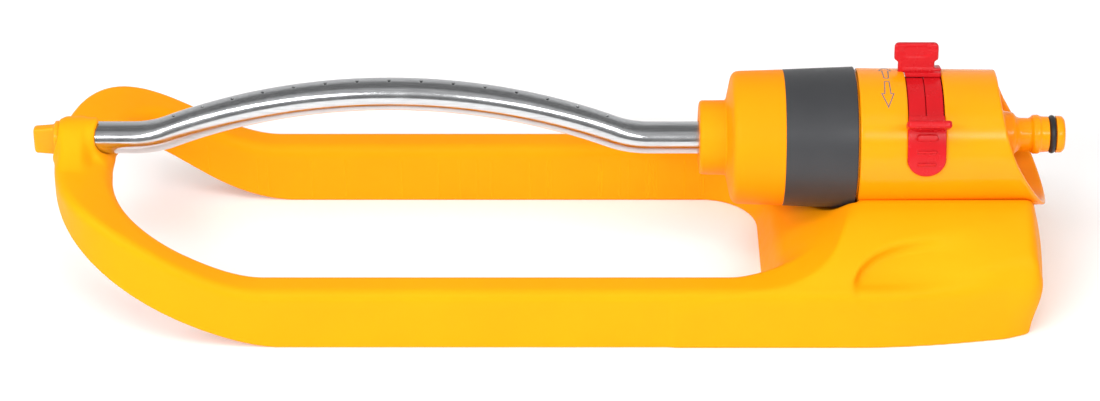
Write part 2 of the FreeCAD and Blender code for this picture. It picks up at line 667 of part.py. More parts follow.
# ---- water path and gear case ----
def pressure_housing():
    """Sealed inner housing: neck for the hub at one end, flange on the barrel's bulkhead at the other."""
    r0, r1 = HOUSING_R
    x0, x1 = HOUSING_X
    shaft_r, flange_r = HUB_SHAFT_R + RUN_GAP, BARREL_BORE - 0.1
    body = turned([
        (98.0, shaft_r), (98.0, 11.6), (x0, 11.6), (x0, r1), (182.6, r1), (182.6, flange_r), (x1, flange_r),
        (x1, r0), (107.0, r0), (107.0, shaft_r), (103.4, shaft_r), (103.4, 9.9), (101.4, 9.9), (101.4, shaft_r),
    ])
    for k in range(4):
        for port_x in (113.2, 123.6):
            port = sector(port_x, port_x + 4.4, r0 - 1, r1 + 1, 90 * k + 30, 90 * k + 60)
            body = body.cut(port)
    for clock in CAP_LUG_CLOCKS:
        ear = sector(x0, 106.0, r1 - 0.5, BARREL_BORE - 0.3, clock - 6, clock + 6)
        hole = Part.makeCylinder(CAP_SCREW_R + 0.15, 10, polar(CAP_SCREW_RADIUS, clock, 100.0), AXIS)
        body = body.fuse(ear).cut(hole)
    spindle_hole = Part.makeCylinder(SPINDLE_R + RUN_GAP, 6, Vector(SPINDLE_X, 0, -26))
    peg = sector(SPRING_PEG_X, SPRING_PEG_X + 4.6, r1 - 0.5, 26.4, SPRING_CLOCK + 10, SPRING_CLOCK + 16)
    groove = rod(SPRING_PEG_X - 1, SPRING_PEG_X + 6, SPRING_WIRE_R + 0.05)
    groove.translate(polar(SPRING_R, SPRING_CLOCK + 13))
    return body.cut(spindle_hole).fuse(peg.cut(groove)).removeSplitter()


def gear_case():
    """Cup that keeps the gears dry; its bottom carries both axles and lets the turbine shaft in."""
    cup = turned([(122.0, 17.8), (122.0, 19.2), (147.0, 19.2), (147.0, TURBINE_SHAFT_R + RUN_GAP),
                  (145.0, TURBINE_SHAFT_R + RUN_GAP), (145.0, 17.8)])
    lay = polar(AXLE_SPACING, LAY_CLOCK)
    return cup.cut(rod(144.4, 146.2, LAY_AXLE_R, (lay.y, lay.z)))


def gear_case_cover():
    """Lid of the gear case. It blocks the housing's bore, so water has to pass through the flow sleeve."""
    lid = ring(120.0, 122.0, OUTPUT_SHAFT_R + RUN_GAP, HOUSING_R[0] - 0.05)
    rim = ring(122.0, 123.2, 16.4, 17.7)
    lay = polar(AXLE_SPACING, LAY_CLOCK)
    return lid.fuse(rim).cut(rod(120.8, 123.0, LAY_AXLE_R, (lay.y, lay.z)))


def stator():
    """Disc across the housing with one nozzle, aimed past the deflector, and a spring-loaded bypass seat."""
    disc = ring(172.0, 175.0, 0, HOUSING_R[0] - 0.05)
    nozzle = rod(170.0, 178.0, 3.4, (0, -15.5))
    bypass = rod(170.0, 178.0, 2.2, (0, 13.0))
    collar = ring(166.5, 172.0, 2.05, 4.0)
    hub_hole = rod(166.0, 172.6, 2.05)
    return disc.cut(nozzle).cut(bypass).fuse(collar).cut(hub_hole)


def turbine_wheel():
    """Reversible impulse wheel: straight radial blades, so either jet drives it."""
    hub = ring(TURBINE_X[0], TURBINE_X[1], TURBINE_SHAFT_R, 5.0)
    web = ring(TURBINE_X[0], TURBINE_X[0] + 1.4, TURBINE_SHAFT_R, TURBINE_R)
    blades = []
    for k in range(BLADE_COUNT):
        blade = Part.makeBox(TURBINE_X[1] - TURBINE_X[0] - 1.0, TURBINE_R - 4.8, 1.0,
                             Vector(TURBINE_X[0] + 1.0, 4.5, -0.5))
        blade.rotate(Vector(0, 0, 0), AXIS, 360.0 / BLADE_COUNT * k)
        blades.append(blade)
    return fuse_all(hub, web, *blades).common(rod(TURBINE_X[0], TURBINE_X[1], TURBINE_R))


def turbine_shaft():
    """Steel shaft from the stator's bearing into the gear case; the first pinion is cut on its end."""
    shaft = rod(142.0, 171.8, TURBINE_SHAFT_R)
    pinion = gear(PINION_TEETH, STAGE_X[3], LAY_CLOCK, gap=False)
    return shaft.fuse(pinion).cut(rod(138.0, 143.6, CENTRE_AXLE_R + RUN_GAP)).removeSplitter()


def involute(angle):
    return math.tan(angle) - angle


def gear(teeth, x, facing, gap):
    """A spur gear GEAR_WIDTH wide with a tooth, or a gap between teeth, at the facing clock angle."""
    pitch_r = MODULE * teeth / 2
    pressure = math.radians(PRESSURE_DEG)
    base_r = pitch_r * math.cos(pressure)
    tip_r, root_r = pitch_r + 0.9 * MODULE, pitch_r - 1.25 * MODULE
    half_at_pitch = (math.pi * MODULE / 2 - BACKLASH) / 2 / pitch_r
    start_r = max(base_r, root_r)
    flank = []
    steps = 5
    for i in range(steps + 1):
        r = start_r + (tip_r - start_r) * i / steps
        turn = math.acos(min(1.0, base_r / r))
        flank.append((r, half_at_pitch + involute(pressure) - involute(turn)))
    step = 360.0 / teeth
    first = facing + (step / 2 if gap else 0)
    points = []
    for k in range(teeth):
        middle = first + step * k
        points.append(polar(root_r, middle - math.degrees(flank[0][1]), x))
        points += [polar(r, middle - math.degrees(a), x) for r, a in flank]
        points += [polar(r, middle + math.degrees(a), x) for r, a in reversed(flank)]
        points.append(polar(root_r, middle + math.degrees(flank[0][1]), x))
    clean = [p for i, p in enumerate(points) if p.distanceToPoint(points[i - 1]) > 1e-6]
    outline = Part.makePolygon(clean + clean[:1])
    return Part.Face(outline).extrude(Vector(GEAR_WIDTH, 0, 0))


def compound_gear(wheel_stage, pinion_stage, centre, wheel_facing, pinion_facing):
    """A wheel and the pinion beside it on one sleeve, turning freely on an axle through centre."""
    wheel = gear(WHEEL_TEETH, STAGE_X[wheel_stage], wheel_facing, gap=True)
    pinion = gear(PINION_TEETH, STAGE_X[pinion_stage], pinion_facing, gap=False)
    low = min(STAGE_X[wheel_stage], STAGE_X[pinion_stage])
    high = max(STAGE_X[wheel_stage], STAGE_X[pinion_stage]) + GEAR_WIDTH
    sleeve = rod(low, high, 2.2)
    body = fuse_all(wheel, pinion, sleeve).cut(rod(low - 1, high + 1, LAY_AXLE_R + RUN_GAP))
    body.translate(centre)
    return body


def lay_gear_first():
    return compound_gear(3, 2, polar(AXLE_SPACING, LAY_CLOCK), LAY_CLOCK + 180, LAY_CLOCK + 180)


def centre_gear():
    return compound_gear(2, 1, Vector(0, 0, 0), LAY_CLOCK, LAY_CLOCK)


def lay_gear_second():
    return compound_gear(1, 0, polar(AXLE_SPACING, LAY_CLOCK), LAY_CLOCK + 180, LAY_CLOCK + 180)


def output_gear():
    """Last wheel of the train with its shaft; the squared end drives the hub."""
    wheel = gear(WHEEL_TEETH, STAGE_X[0], LAY_CLOCK, gap=True)
    shaft = rod(113.2, STAGE_X[0] + 0.5, OUTPUT_SHAFT_R)
    square = Part.makeBox(4.7, 4.2, 4.2, Vector(108.8, -2.1, -2.1))
    axle_hole = rod(116.0, 130.0, CENTRE_AXLE_R)
    return fuse_all(wheel, shaft, square).cut(axle_hole)


def centre_axle():
    """Axle pressed into the output gear; the centre gear and the turbine shaft run on it."""
    return rod(116.0, 143.5, CENTRE_AXLE_R)


def lay_axle():
    lay = polar(AXLE_SPACING, LAY_CLOCK)
    return rod(120.8, 146.2, LAY_AXLE_R, (lay.y, lay.z))


# ---- output hub ----
def output_hub():
    """Hub that holds the tube: pinned socket, hollow shaft, spider for the drive, and the trip arm."""
    bore = TUBE_R - TUBE_WALL
    body = turned([
        (79.6, TUBE_R), (79.6, HUB_R - 0.4), (80.0, HUB_R), (91.6, HUB_R), (91.6, ARM_R[1]), (93.6, ARM_R[1]),
        (93.6, HUB_R), (97.6, HUB_R), (97.6, HUB_SHAFT_R), (113.0, HUB_SHAFT_R), (113.0, bore - 0.5),
        (97.4, bore - 0.5), (97.4, TUBE_R), (91.0, TUBE_R), (91.0, TUBE_R + 1.3), (88.8, TUBE_R + 1.3),
        (88.8, TUBE_R),
    ])
    windows = [sector(90.0, 95.0, HUB_R + 3.0, ARM_R[0] - 2.0, 60 * k + 10, 60 * k + 50) for k in range(6)]
    body = body.cut(windows[0].multiFuse(windows[1:]))
    spokes = [Part.makeBox(4.4, 6.5, 1.6, Vector(108.6, 0, -0.8)) for _ in range(3)]
    for k, spoke in enumerate(spokes):
        spoke.rotate(Vector(0, 0, 0), AXIS, 120.0 * k)
        body = body.fuse(spoke)
    socket = rod(108.6, 113.0, 3.6).cut(Part.makeBox(4.6, 4.3, 4.3, Vector(108.5, -2.15, -2.15)))
    body = body.fuse(socket).cut(Part.makeBox(4.6, 4.3, 4.3, Vector(108.5, -2.15, -2.15)))
    arm = sector(ARM_X[0], ARM_X[1], ARM_R[0], ARM_R[1], 86.5 + REST_TILT, 93.5 + REST_TILT)
    body = body.fuse(arm)
    return body.cut(Part.makeCylinder(DRIVE_PIN_R, 40, Vector(DRIVE_PIN_X, 0, -20))).removeSplitter()


def drive_pin():
    return Part.makeCylinder(DRIVE_PIN_R, 2 * HUB_R - 0.8, Vector(DRIVE_PIN_X, 0, -HUB_R + 0.4))


def tube_seal():
    return turned_o_ring(89.9, TUBE_R + 0.02, TUBE_R + 1.28)


def hub_seal():
    return turned_o_ring(102.4, HUB_SHAFT_R + 0.02, 9.86)


# ---- inlet ----
def hose_spigot():
    """Quick-connect nose screwed into the bulkhead: stepped base, neck, bead and seal groove."""
    tip = SPIGOT_TIP_X
    nose = SPIGOT_NOSE_R
    seal_x0, seal_x1 = SEAL_GROOVE_X
    bore, seat, thread = SPIGOT_BORE, SPIGOT_BORE + 2.0, INLET_HOLE_R - 0.05
    body = turned([
        (184.0, seat), (184.0, thread), (189.2, thread), (189.2, 13.0), (194.0, 13.0), (196.6, 10.2),
        (200.4, 9.9), (201.4, 9.0), (202.6, 7.4), (203.6, 7.1), (208.0, 7.1), (209.2, 7.6), (209.9, 8.4),
        (211.6, 8.4), (212.4, 7.8), (seal_x0, 7.7), (seal_x0, 6.4), (seal_x1, 6.4), (seal_x1, nose),
        (tip - 1.1, nose), (tip - 0.3, 7.6), (tip, 6.8), (tip, bore), (190.0, bore), (190.0, seat),
    ])
    return raised_inlet(body)


def raised_inlet(shape):
    shape.translate(Vector(0, 0, INLET_LIFT))
    return shape


def spigot_seal():
    middle = sum(SEAL_GROOVE_X) / 2
    return raised_inlet(torus_ring(middle, 7.0, 1.35).cut(ring(middle - 3, middle + 3, 0, 6.4)))


def inlet_filter():
    """Thimble strainer seated in the spigot's base, pierced in rows."""
    outer, wall = SPIGOT_BORE + 1.95, 0.8
    body = turned([(176.0, 0), (176.0, outer - 1.6), (176.6, outer - 1.0), (190.0, outer),
                   (190.0, outer - wall), (177.2, outer - wall - 1.0), (176.8, 0)])
    for row in range(4):
        for k in range(6):
            clock = 60 * k + 30 * (row % 2)
            slot = Part.makeBox(1.6, 9, 1.2, Vector(178.4 + 2.6 * row, 0, -0.6))
            slot.rotate(Vector(0, 0, 0), AXIS, clock)
            body = body.cut(slot)
    return raised_inlet(body)


def inlet_washer():
    """Flat seal between the bulkhead and the spigot's flange, round the thread."""
    return raised_inlet(ring(189.0, 189.2, INLET_HOLE_R + 0.1, 12.9))


def spindle_seal():
    seal = Part.makeTorus(2.05, 0.4, Vector(SPINDLE_X, 0, -21.2), Vector(0, 0, 1))
    return seal


# ---- all nodes ----
def main():
    os.makedirs("parts", exist_ok=True)
    export("base_frame", base_frame(), lift=False)
    export("base_screws", *base_screws(), lift=False)
    nodes = {
        "spray_tube": [spray_tube()],
        "end_plug": [end_plug()],
        "cleaning_pin": [cleaning_pin()],
        "plug_seal": [plug_seal()],
        "front_cap": [front_cap()],
        "cap_screws": cap_screws(),
        "flow_ring": [flow_ring()],
        "flow_sleeve": [flow_sleeve()],
        "valve_seals": valve_seals(),
        "rear_barrel": [rear_barrel()],
        "front_slider": [slider(FRONT_CLOCK, -1, FRONT_TAIL, 0.0)],
        "rear_slider": [slider(REAR_CLOCK, 1, REAR_TAIL, REAR_PADDLE_SHIFT)],
        "trip_ring": [trip_ring()],
        "trip_crank": [trip_crank()],
        "deflector": [deflector()],
        "toggle_spring": [toggle_spring()],
        "pressure_housing": [pressure_housing()],
        "gear_case": [gear_case()],
        "gear_case_cover": [gear_case_cover()],
        "stator": [stator()],
        "turbine_wheel": [turbine_wheel()],
        "turbine_shaft": [turbine_shaft()],
        "lay_gear_first": [lay_gear_first()],
        "centre_gear": [centre_gear()],
        "lay_gear_second": [lay_gear_second()],
        "output_gear": [output_gear()],
        "centre_axle": [centre_axle()],
        "lay_axle": [lay_axle()],
        "output_hub": [output_hub()],
        "drive_pin": [drive_pin()],
        "tube_seal": [tube_seal()],
        "hub_seal": [hub_seal()],
        "hose_spigot": [hose_spigot()],
        "spigot_seal": [spigot_seal()],
        "inlet_filter": [inlet_filter()],
        "inlet_washer": [inlet_washer()],
        "spindle_seal": [spindle_seal()],
    }
    for name, solids in nodes.items():
        export(name, *solids)


main()
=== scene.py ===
"""Looks of the oscillating sprinkler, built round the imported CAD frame.

Shells with blended edges are made from distance fields: each is a function of position in millimetres
that is negative inside the solid, sampled on a grid and turned into a mesh. Round parts are turned from
profiles. Parts on the motor's axis use x along it, and y and z measured from it. Clock angles run round
+X: 0 rear, 90 top, 180 front.
"""
import functools
import itertools
import json
import math

import bmesh
import bpy
import numpy as np
import openvdb
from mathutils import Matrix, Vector


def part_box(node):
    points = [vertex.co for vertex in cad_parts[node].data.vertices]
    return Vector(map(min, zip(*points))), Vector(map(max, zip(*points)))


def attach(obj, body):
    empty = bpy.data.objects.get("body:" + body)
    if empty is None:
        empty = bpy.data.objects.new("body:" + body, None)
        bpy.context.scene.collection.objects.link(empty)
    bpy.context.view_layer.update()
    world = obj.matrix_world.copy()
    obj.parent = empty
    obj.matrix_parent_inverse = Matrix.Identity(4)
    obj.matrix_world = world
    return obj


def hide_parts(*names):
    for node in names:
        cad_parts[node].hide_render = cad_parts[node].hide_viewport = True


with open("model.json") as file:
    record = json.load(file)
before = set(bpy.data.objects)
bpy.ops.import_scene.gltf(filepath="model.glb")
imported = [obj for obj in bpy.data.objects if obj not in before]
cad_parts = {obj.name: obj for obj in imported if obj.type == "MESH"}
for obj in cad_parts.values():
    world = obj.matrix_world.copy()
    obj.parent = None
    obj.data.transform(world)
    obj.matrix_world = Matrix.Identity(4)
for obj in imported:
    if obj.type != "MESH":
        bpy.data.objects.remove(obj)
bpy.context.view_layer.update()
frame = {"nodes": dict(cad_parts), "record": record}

MM = 0.001
DEG = math.radians(1.0)


def box_mm(node):
    low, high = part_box(node)
    return np.array(low) / MM, np.array(high) / MM


JOINTS = {j["name"]: j for j in frame["record"]["behaviour"]["joints"]}
AXIS_Z = JOINTS["arm_swing"]["pos_m"][2] / MM
BASE_LOW, BASE_HIGH = box_mm("base_frame")
CAP_LOW, CAP_HIGH = box_mm("front_cap")
RING_LOW, RING_HIGH = box_mm("flow_ring")
BARREL_LOW = box_mm("rear_barrel")[0]
PLUG_LOW, PLUG_HIGH = box_mm("end_plug")
SPIGOT_LOW, SPIGOT_HIGH = box_mm("hose_spigot")
SEAL_LOW, SEAL_HIGH = box_mm("spigot_seal")
SEAL_MIDDLE = (SEAL_LOW[0] + SEAL_HIGH[0]) / 2
TUBE_LOW, TUBE_HIGH = box_mm("spray_tube")

# ---- base shell, in millimetres ----
HALF_WIDTH = BASE_HIGH[1]
RAIL_TOP = 28.2
RAIL_WIDTH = 15.8
RAIL_ROUND = 4.8
INNER_ROUND = 5.0
BASE_WALL = 2.6
BASE_STEP = 0.8
FLOOR_MARGIN = 9.0
TIP_TOP = 62.4
RISE_X = (-209.0, -122.5)
LOOP_REACH = 68.0
LOOP_FULLNESS = (0.94, 0.5)
END_CORNER = 8.0

OPENING_X = (-190.3, 93.0)
OPENING_REACH = 35.0
OPENING_FULLNESS = (0.68, 0.68)
OPENING_LEAN = 0.3
OPENING_CORNER = 23.0

SHOULDER_TOP = 50.5
SHOULDER_HALF = 28.5
PEDESTAL_X = 104.0
PEDESTAL_ROUND = 1.6
PEDESTAL_BLEND = 4.0

SCOOP_X = 126.6
SCOOP_Z = 30.0
SCOOP_HALF = (12.0, 18.5)
SCOOP_OPENS = (6.5, 8.0)
SCOOP_RIM = (8.0, 8.5)
SCOOP_START = 6.0
SCOOP_FADE = (14.0, 72.0)
SCOOP_DEPTH = 5.4

SWELL_X = (194.0, 207.0)
SWELL_Z = (24.0, 26.0)
SWELL_REACH = 24.0
SWELL_DRAWN_IN = (3.9, 3.8)
SWELL_FULLNESS = 1.6

BEARING_X = (BASE_LOW[0] + 1.8, -194.3)
BEARING_R = 8.0
BEARING_FLARE = 0.05
BEARING_LEAN = (0.16, 0.3)
BEARING_BLEND = 6.5
BEARING_GAP = 0.06
BORE_END_X = -190.0
SADDLE = 8.0
SADDLE_HALF = (4.0, 24.0)
SADDLE_ENDS = (5.0, 6.0)

SCREW_POSTS = (144.0, 177.0)
SCREW_POST_R = (2.2, 5.0)
SCREW_SEAT_Z = 26.0
SCREW_SEAT_WALL = 2.5
RING_SKIN = 1.4
RING_GAP = 0.7

# ---- spray tube ----
TUBE_R = 7.0
TUBE_WALL = 0.8
ARCH_X = -69.0
ARCH_R = 232.0
BEND_R = 40.0
ARCH_RISE = 24.0
REST_TILT = 6.6
TUBE_SIDES = 72
TUBE_STEP = 1.1
JET_COUNT = 15
JET_STEP_DEG = 3.3
JET_CELLS = 4
JET_RINGS = ((1.0, 0.0), (0.78, -0.05), (0.62, -0.22))
JET_INNER_RINGS = ((0.75, 0.0),)

# ---- motor: cap, ring, barrel, connector ----
COLLAR_R = 16.2
HUB_BORE = 10.56
CAP_LIP = 2.6
CAP_R = CAP_HIGH[2] - AXIS_Z
RING_R = (29.6, RING_HIGH[2] - AXIS_Z)
RING_BORE = 28.4
RING_GROOVE = 0.45
BARREL_X = BARREL_LOW[0] + 3.0
BARREL_R = (30.2, 29.2)
BARREL_MEAN_R = 30.0
BARREL_BORE = 27.0
BARREL_LIP_X = 218.0
BARREL_STEP = 0.5
BARREL_CUT = (200.0, 3.0)
BULKHEAD_X = (186.0, 189.0)
INLET_HOLE_R = 9.6
INLET_LIFT = (SPIGOT_LOW[2] + SPIGOT_HIGH[2]) / 2 - AXIS_Z
SPIGOT_BORE = 5.0
SEAL_R = 7.0
SEAL_WIRE = 1.33
SLOT_X = (152.8, 168.4)
SLOT_MID = sum(SLOT_X) / 2
SLOT_END_Z = 4.0
GROOVE_X = (149.4, 171.6)
GROOVE_R = 28.4

# ---- sliders and end plug ----
FRONT_CLOCK = 140.5
REAR_CLOCK = 75.0
FRONT_TAIL = 56.5
REAR_TAIL = 73.0
REAR_PADDLE_SHIFT = 2.6
PAD_R = (30.35, 31.5)
PAD_ARC = (3.5, 25.2)
PAD_MEAN_R = 31.0
PAD_HALF = 8.2
SHEET_GAP = (0.3, 0.12)
FOOT_GAP = 0.6
NECK_MEAN_R = 30.0
INNER_PAD_HALF = (7.7, 4.4)
INNER_PAD_SHIFT = 0.9
RIB_RISE = 0.95
RIBS = ((8.3, 3.2, 1.35), (19.5, 3.6, 0.55), (29.5, 3.4, 0.55))
FOOT_R = (26.6, 28.1)
TAIL_R = 28.8
TAIL_MEAN_R = 28.5
PADDLE_TIP_R = 42.7
PADDLE_HALF_THICK = 1.65
FINE_STEP = 0.25
PLUG_HEAD_X = (-214.8, -212.6)
PLUG_NECK_X = (-213.6, -205.0)
PLUG_GROOVE_X = (-210.6, -208.4)
PIN_HOLE_X = -209.5

# ---- printed arrows ----
ARROW_X = 144.5
ARROW_CLOCK = 92.8
ARROW_LINE = 0.52
INK_HEIGHT = (-0.05, 0.03)

# ---- studio, in metres ----
CAMERA_ELEVATION = 33.0
CAMERA_DISTANCE = 1.5
CAMERA_SENSOR = 36.0
CAMERA_LENS = 111.6
FLOOR_HALF = 6.0
WORLD_LIGHT = 0.34


# ---- distance-field helpers ----
def smooth_max(a, b, k):
    h = np.clip(0.5 - 0.5 * (b - a) / k, 0, 1)
    return b + (a - b) * h + k * h * (1 - h)


def smooth_min(a, b, k):
    return -smooth_max(-a, -b, k)


def union(*fields):
    return functools.reduce(np.minimum, fields)


def common(*fields):
    return functools.reduce(np.maximum, fields)


def layer(values, limits):
    """Distance to the layer between two limits, negative inside it."""
    return np.maximum(limits[0] - values, values - limits[1])


def smoothstep(t):
    t = np.clip(t, 0, 1)
    return t * t * (3 - 2 * t)


def bezier(*poles, steps=14):
    """Points along a Bezier curve, without its end point."""
    poles = [np.array(p, float) for p in poles]
    degree = len(poles) - 1
    points = []
    for t in np.linspace(0, 1, steps, endpoint=False):
        weights = [math.comb(degree, i) * t ** i * (1 - t) ** (degree - i)
                   for i in range(degree + 1)]
        points.append(sum(w * p for w, p in zip(weights, poles)))
    return points


def quarter_curve(start, corner, end, fullness=(0.5523, 0.5523), steps=24):
    s, c, e = (np.array(p, float) for p in (start, corner, end))
    return bezier(s, s + (c - s) * fullness[0], e + (c - e) * fullness[1], e, steps=steps)


def outline_distance(points, u, v):
    """Signed distance in a plane to a closed outline, negative inside."""
    corners = np.array(points, np.float32)
    best = np.full(np.broadcast(u, v).shape, 1e9, np.float32)
    inside = np.zeros(best.shape, bool)
    for a, b in zip(corners, np.roll(corners, -1, axis=0)):
        edge = b - a
        length = float(edge @ edge)
        if length < 1e-9:
            continue
        du, dv = u - a[0], v - a[1]
        t = np.clip((du * edge[0] + dv * edge[1]) / length, 0, 1)
        best = np.minimum(best, (du - edge[0] * t) ** 2 + (dv - edge[1] * t) ** 2)
        if abs(edge[1]) > 1e-9:
            crosses = ((a[1] <= v) != (b[1] <= v)) & (u < a[0] + (v - a[1]) * edge[0] / edge[1])
            inside ^= crosses
    distance = np.sqrt(best)
    return np.where(inside, -distance, distance)


def polar(y, z):
    """Radius from the motor's axis and clock angle, for points given with z measured from the axis."""
    return np.hypot(y, z), np.degrees(np.arctan2(z, y))


def sample(values, points, low, step):
    """Trilinear value and gradient of a sampled field at scattered points."""
    at = (points - low) / step
    cell = np.clip(np.floor(at).astype(int), 0, np.array(values.shape) - 2)
    f = at - cell
    i, j, k = cell.T
    corner = {(a, b, c): values[i + a, j + b, k + c]
              for a, b, c in itertools.product((0, 1), repeat=3)}
    fx, fy, fz = f.T
    weights = [(1 - fx, fx), (1 - fy, fy), (1 - fz, fz)]
    value = np.zeros(len(points))
    slope = np.zeros((len(points), 3))
    for (a, b, c), w in corner.items():
        wx, wy, wz = weights[0][a], weights[1][b], weights[2][c]
        value += w * wx * wy * wz
        slope[:, 0] += w * (1 if a else -1) * wy * wz
        slope[:, 1] += w * wx * (1 if b else -1) * wz
        slope[:, 2] += w * wx * wy * (1 if c else -1)
    return value, slope / step


def mesh_object(name, points, faces):
    mesh = bpy.data.meshes.new(name)
    mesh.from_pydata([tuple(p) for p in points], [], [tuple(f) for f in faces])
    mesh.validate()
    obj = bpy.data.objects.new(name, mesh)
    bpy.context.scene.collection.objects.link(obj)
    return obj


def smooth_shaded(obj, angle_deg=40.0):
    obj.data.shade_smooth()
    obj.data.set_sharp_from_angle(angle=math.radians(angle_deg))
    return obj


def field_object(name, field, low, high, step, lift=True):
    """Samples a distance field on a grid, meshes its zero level and settles the points onto it."""
    low = np.array(low, float)
    counts = np.ceil((np.array(high, float) - low) / step).astype(int) + 1
    axes = [(low[i] + step * np.arange(counts[i])).astype(np.float32) for i in range(3)]
    x, y, z = np.meshgrid(*axes, indexing="ij", sparse=True)
    values = np.broadcast_to(field(x, y, z), tuple(counts)).astype(np.float32)
    band = 3.0 * step
    grid = openvdb.FloatGrid(band)
    grid.copyFromArray(np.ascontiguousarray(np.clip(values, -band, band)))
    points, quads = grid.convertToQuads(0.0)
    points = points.astype(float) * step + low
    for _ in range(3):
        value, slope = sample(values, points, low, step)
        size = np.maximum((slope ** 2).sum(axis=1), 0.09)
        move = slope * (value / size)[:, None]
        points -= np.clip(move, -0.4 * step, 0.4 * step)
    if lift:
        points[:, 2] += AXIS_Z
    obj = mesh_object(name, points * MM, quads)
    bm = bmesh.new()
    bm.from_mesh(obj.data)
    if bm.calc_volume(signed=True) < 0:
        bmesh.ops.reverse_faces(bm, faces=bm.faces)
    bm.to_mesh(obj.data)
    bm.free()
    obj.data.shade_smooth()
    return obj


def turned_object(name, profile, segments=160, lift=0.0):
    """Turns a closed (x, r) profile round an axis lift above the motor's; radius 0 closes on the axis."""
    height = AXIS_Z + lift
    bm = bmesh.new()
    rings = []
    for x, r in profile:
        if r < 1e-6:
            rings.append([bm.verts.new((x * MM, 0, height * MM))])
            continue
        ring = []
        for k in range(segments):
            a = 2 * math.pi * k / segments
            ring.append(bm.verts.new((x * MM, r * math.cos(a) * MM, (height + r * math.sin(a)) * MM)))
        rings.append(ring)
    for a, b in zip(rings, rings[1:] + rings[:1]):
        for k in range(segments):
            corners = [a[k % len(a)], a[(k + 1) % len(a)], b[(k + 1) % len(b)], b[k % len(b)]]
            unique = list(dict.fromkeys(corners))
            if len(unique) > 2:
                bm.faces.new(unique)
    bmesh.ops.recalc_face_normals(bm, faces=bm.faces)
    obj = mesh_object(name, [], [])
    bm.to_mesh(obj.data)
    bm.free()
    return smooth_shaded(obj)


def rounded(points, radii, steps=5):
    """Replaces the corners of a closed outline by arcs; radii holds one radius per corner."""
    result = []
    count = len(points)
    for i, radius in enumerate(radii):
        p = np.array(points[i], float)
        before = np.array(points[i - 1], float) - p
        after = np.array(points[(i + 1) % count], float) - p
        if radius <= 0:
            result.append(tuple(p))
            continue
        reach = min(radius, 0.45 * np.linalg.norm(before), 0.45 * np.linalg.norm(after))
        start = p + before / np.linalg.norm(before) * reach
        end = p + after / np.linalg.norm(after) * reach
        for t in np.linspace(0, 1, steps):
            result.append(tuple((1 - t) ** 2 * start + 2 * t * (1 - t) * p + t * t * end))
    return result


# ---- materials ----
class Nodes:
    """Small helper that adds and links shader nodes."""

    def __init__(self, name):
        self.material = bpy.data.materials.new(name)
        self.material.use_nodes = True
        self.tree = self.material.node_tree
        self.shader = self.tree.nodes["Principled BSDF"]
        self.place = self.add("ShaderNodeTexCoord").outputs["Object"]

    def add(self, kind, **values):
        node = self.tree.nodes.new(kind)
        for key, value in values.items():
            setattr(node, key, value)
        return node

    def link(self, a, b):
        self.tree.links.new(a, b)

    def noise(self, scale, detail=3.0, roughness=0.5, place=None):
        node = self.add("ShaderNodeTexNoise")
        node.inputs["Scale"].default_value = scale
        node.inputs["Detail"].default_value = detail
        node.inputs["Roughness"].default_value = roughness
        self.link(place or self.place, node.inputs["Vector"])
        return node.outputs["Fac"]

    def ramp(self, factor, low, high, low_at=0.3, high_at=0.7):
        node = self.add("ShaderNodeValToRGB")
        for element, colour, at in zip(node.color_ramp.elements, (low, high), (low_at, high_at)):
            element.color = (*colour, 1.0) if len(colour) == 3 else colour
            element.position = at
        self.link(factor, node.inputs["Fac"])
        return node.outputs["Color"]

    def span(self, factor, low, high):
        node = self.add("ShaderNodeMapRange")
        node.inputs["From Min"].default_value = 0.25
        node.inputs["From Max"].default_value = 0.75
        node.inputs["To Min"].default_value = low
        node.inputs["To Max"].default_value = high
        self.link(factor, node.inputs["Value"])
        return node.outputs["Result"]

    def bump(self, height, distance_mm, strength=1.0, before=None):
        node = self.add("ShaderNodeBump")
        node.inputs["Distance"].default_value = distance_mm * MM
        node.inputs["Strength"].default_value = strength
        self.link(height, node.inputs["Height"])
        if before is not None:
            self.link(before, node.inputs["Normal"])
        self.link(node.outputs["Normal"], self.shader.inputs["Normal"])
        return node.outputs["Normal"]

    def set(self, **values):
        for key, value in values.items():
            self.shader.inputs[key.replace("_", " ")].default_value = value
        return self


def plastic(name, colour, dark, roughness, grain_mm, grain_scale, soft=0.0, shine=0.5):
    """Moulded plastic: fine grain, slow waviness, faint colour drift and worn patches of gloss."""
    n = Nodes(name)
    drift = n.noise(28.0, detail=4.0)
    n.link(n.ramp(drift, dark, colour), n.shader.inputs["Base Color"])
    n.link(n.span(n.noise(170.0, detail=5.0, roughness=0.65), roughness - 0.05, roughness + 0.06),
           n.shader.inputs["Roughness"])
    wave = n.bump(n.noise(45.0, detail=2.0), 0.05, 0.5)
    n.bump(n.noise(grain_scale, detail=2.0, roughness=0.6), grain_mm, 0.7, before=wave)
    n.set(IOR=1.5, Subsurface_Weight=soft, Subsurface_Scale=0.002)
    n.shader.inputs["Specular IOR Level"].default_value = shine
    n.shader.inputs["Subsurface Radius"].default_value = (1.0, 0.45, 0.08)
    return n.material


def polished_tube(name):
    """Drawn and polished aluminium: lengthwise streaks, faint handling marks and small pits."""
    n = Nodes(name)
    stretch = n.add("ShaderNodeMapping")
    stretch.inputs["Scale"].default_value = (0.06, 1.0, 1.0)
    n.link(n.place, stretch.inputs["Vector"])
    streaks = n.noise(1500.0, detail=4.0, roughness=0.6, place=stretch.outputs["Vector"])
    n.link(n.ramp(streaks, (0.54, 0.55, 0.565), (0.70, 0.71, 0.72)), n.shader.inputs["Base Color"])
    n.link(n.span(n.noise(90.0, detail=6.0, roughness=0.7), 0.12, 0.27), n.shader.inputs["Roughness"])
    wave = n.bump(n.noise(60.0, detail=2.0), 0.05, 0.35)
    n.bump(streaks, 0.004, 0.5, before=wave)
    n.set(Metallic=1.0, Anisotropic=0.3)
    return n.material


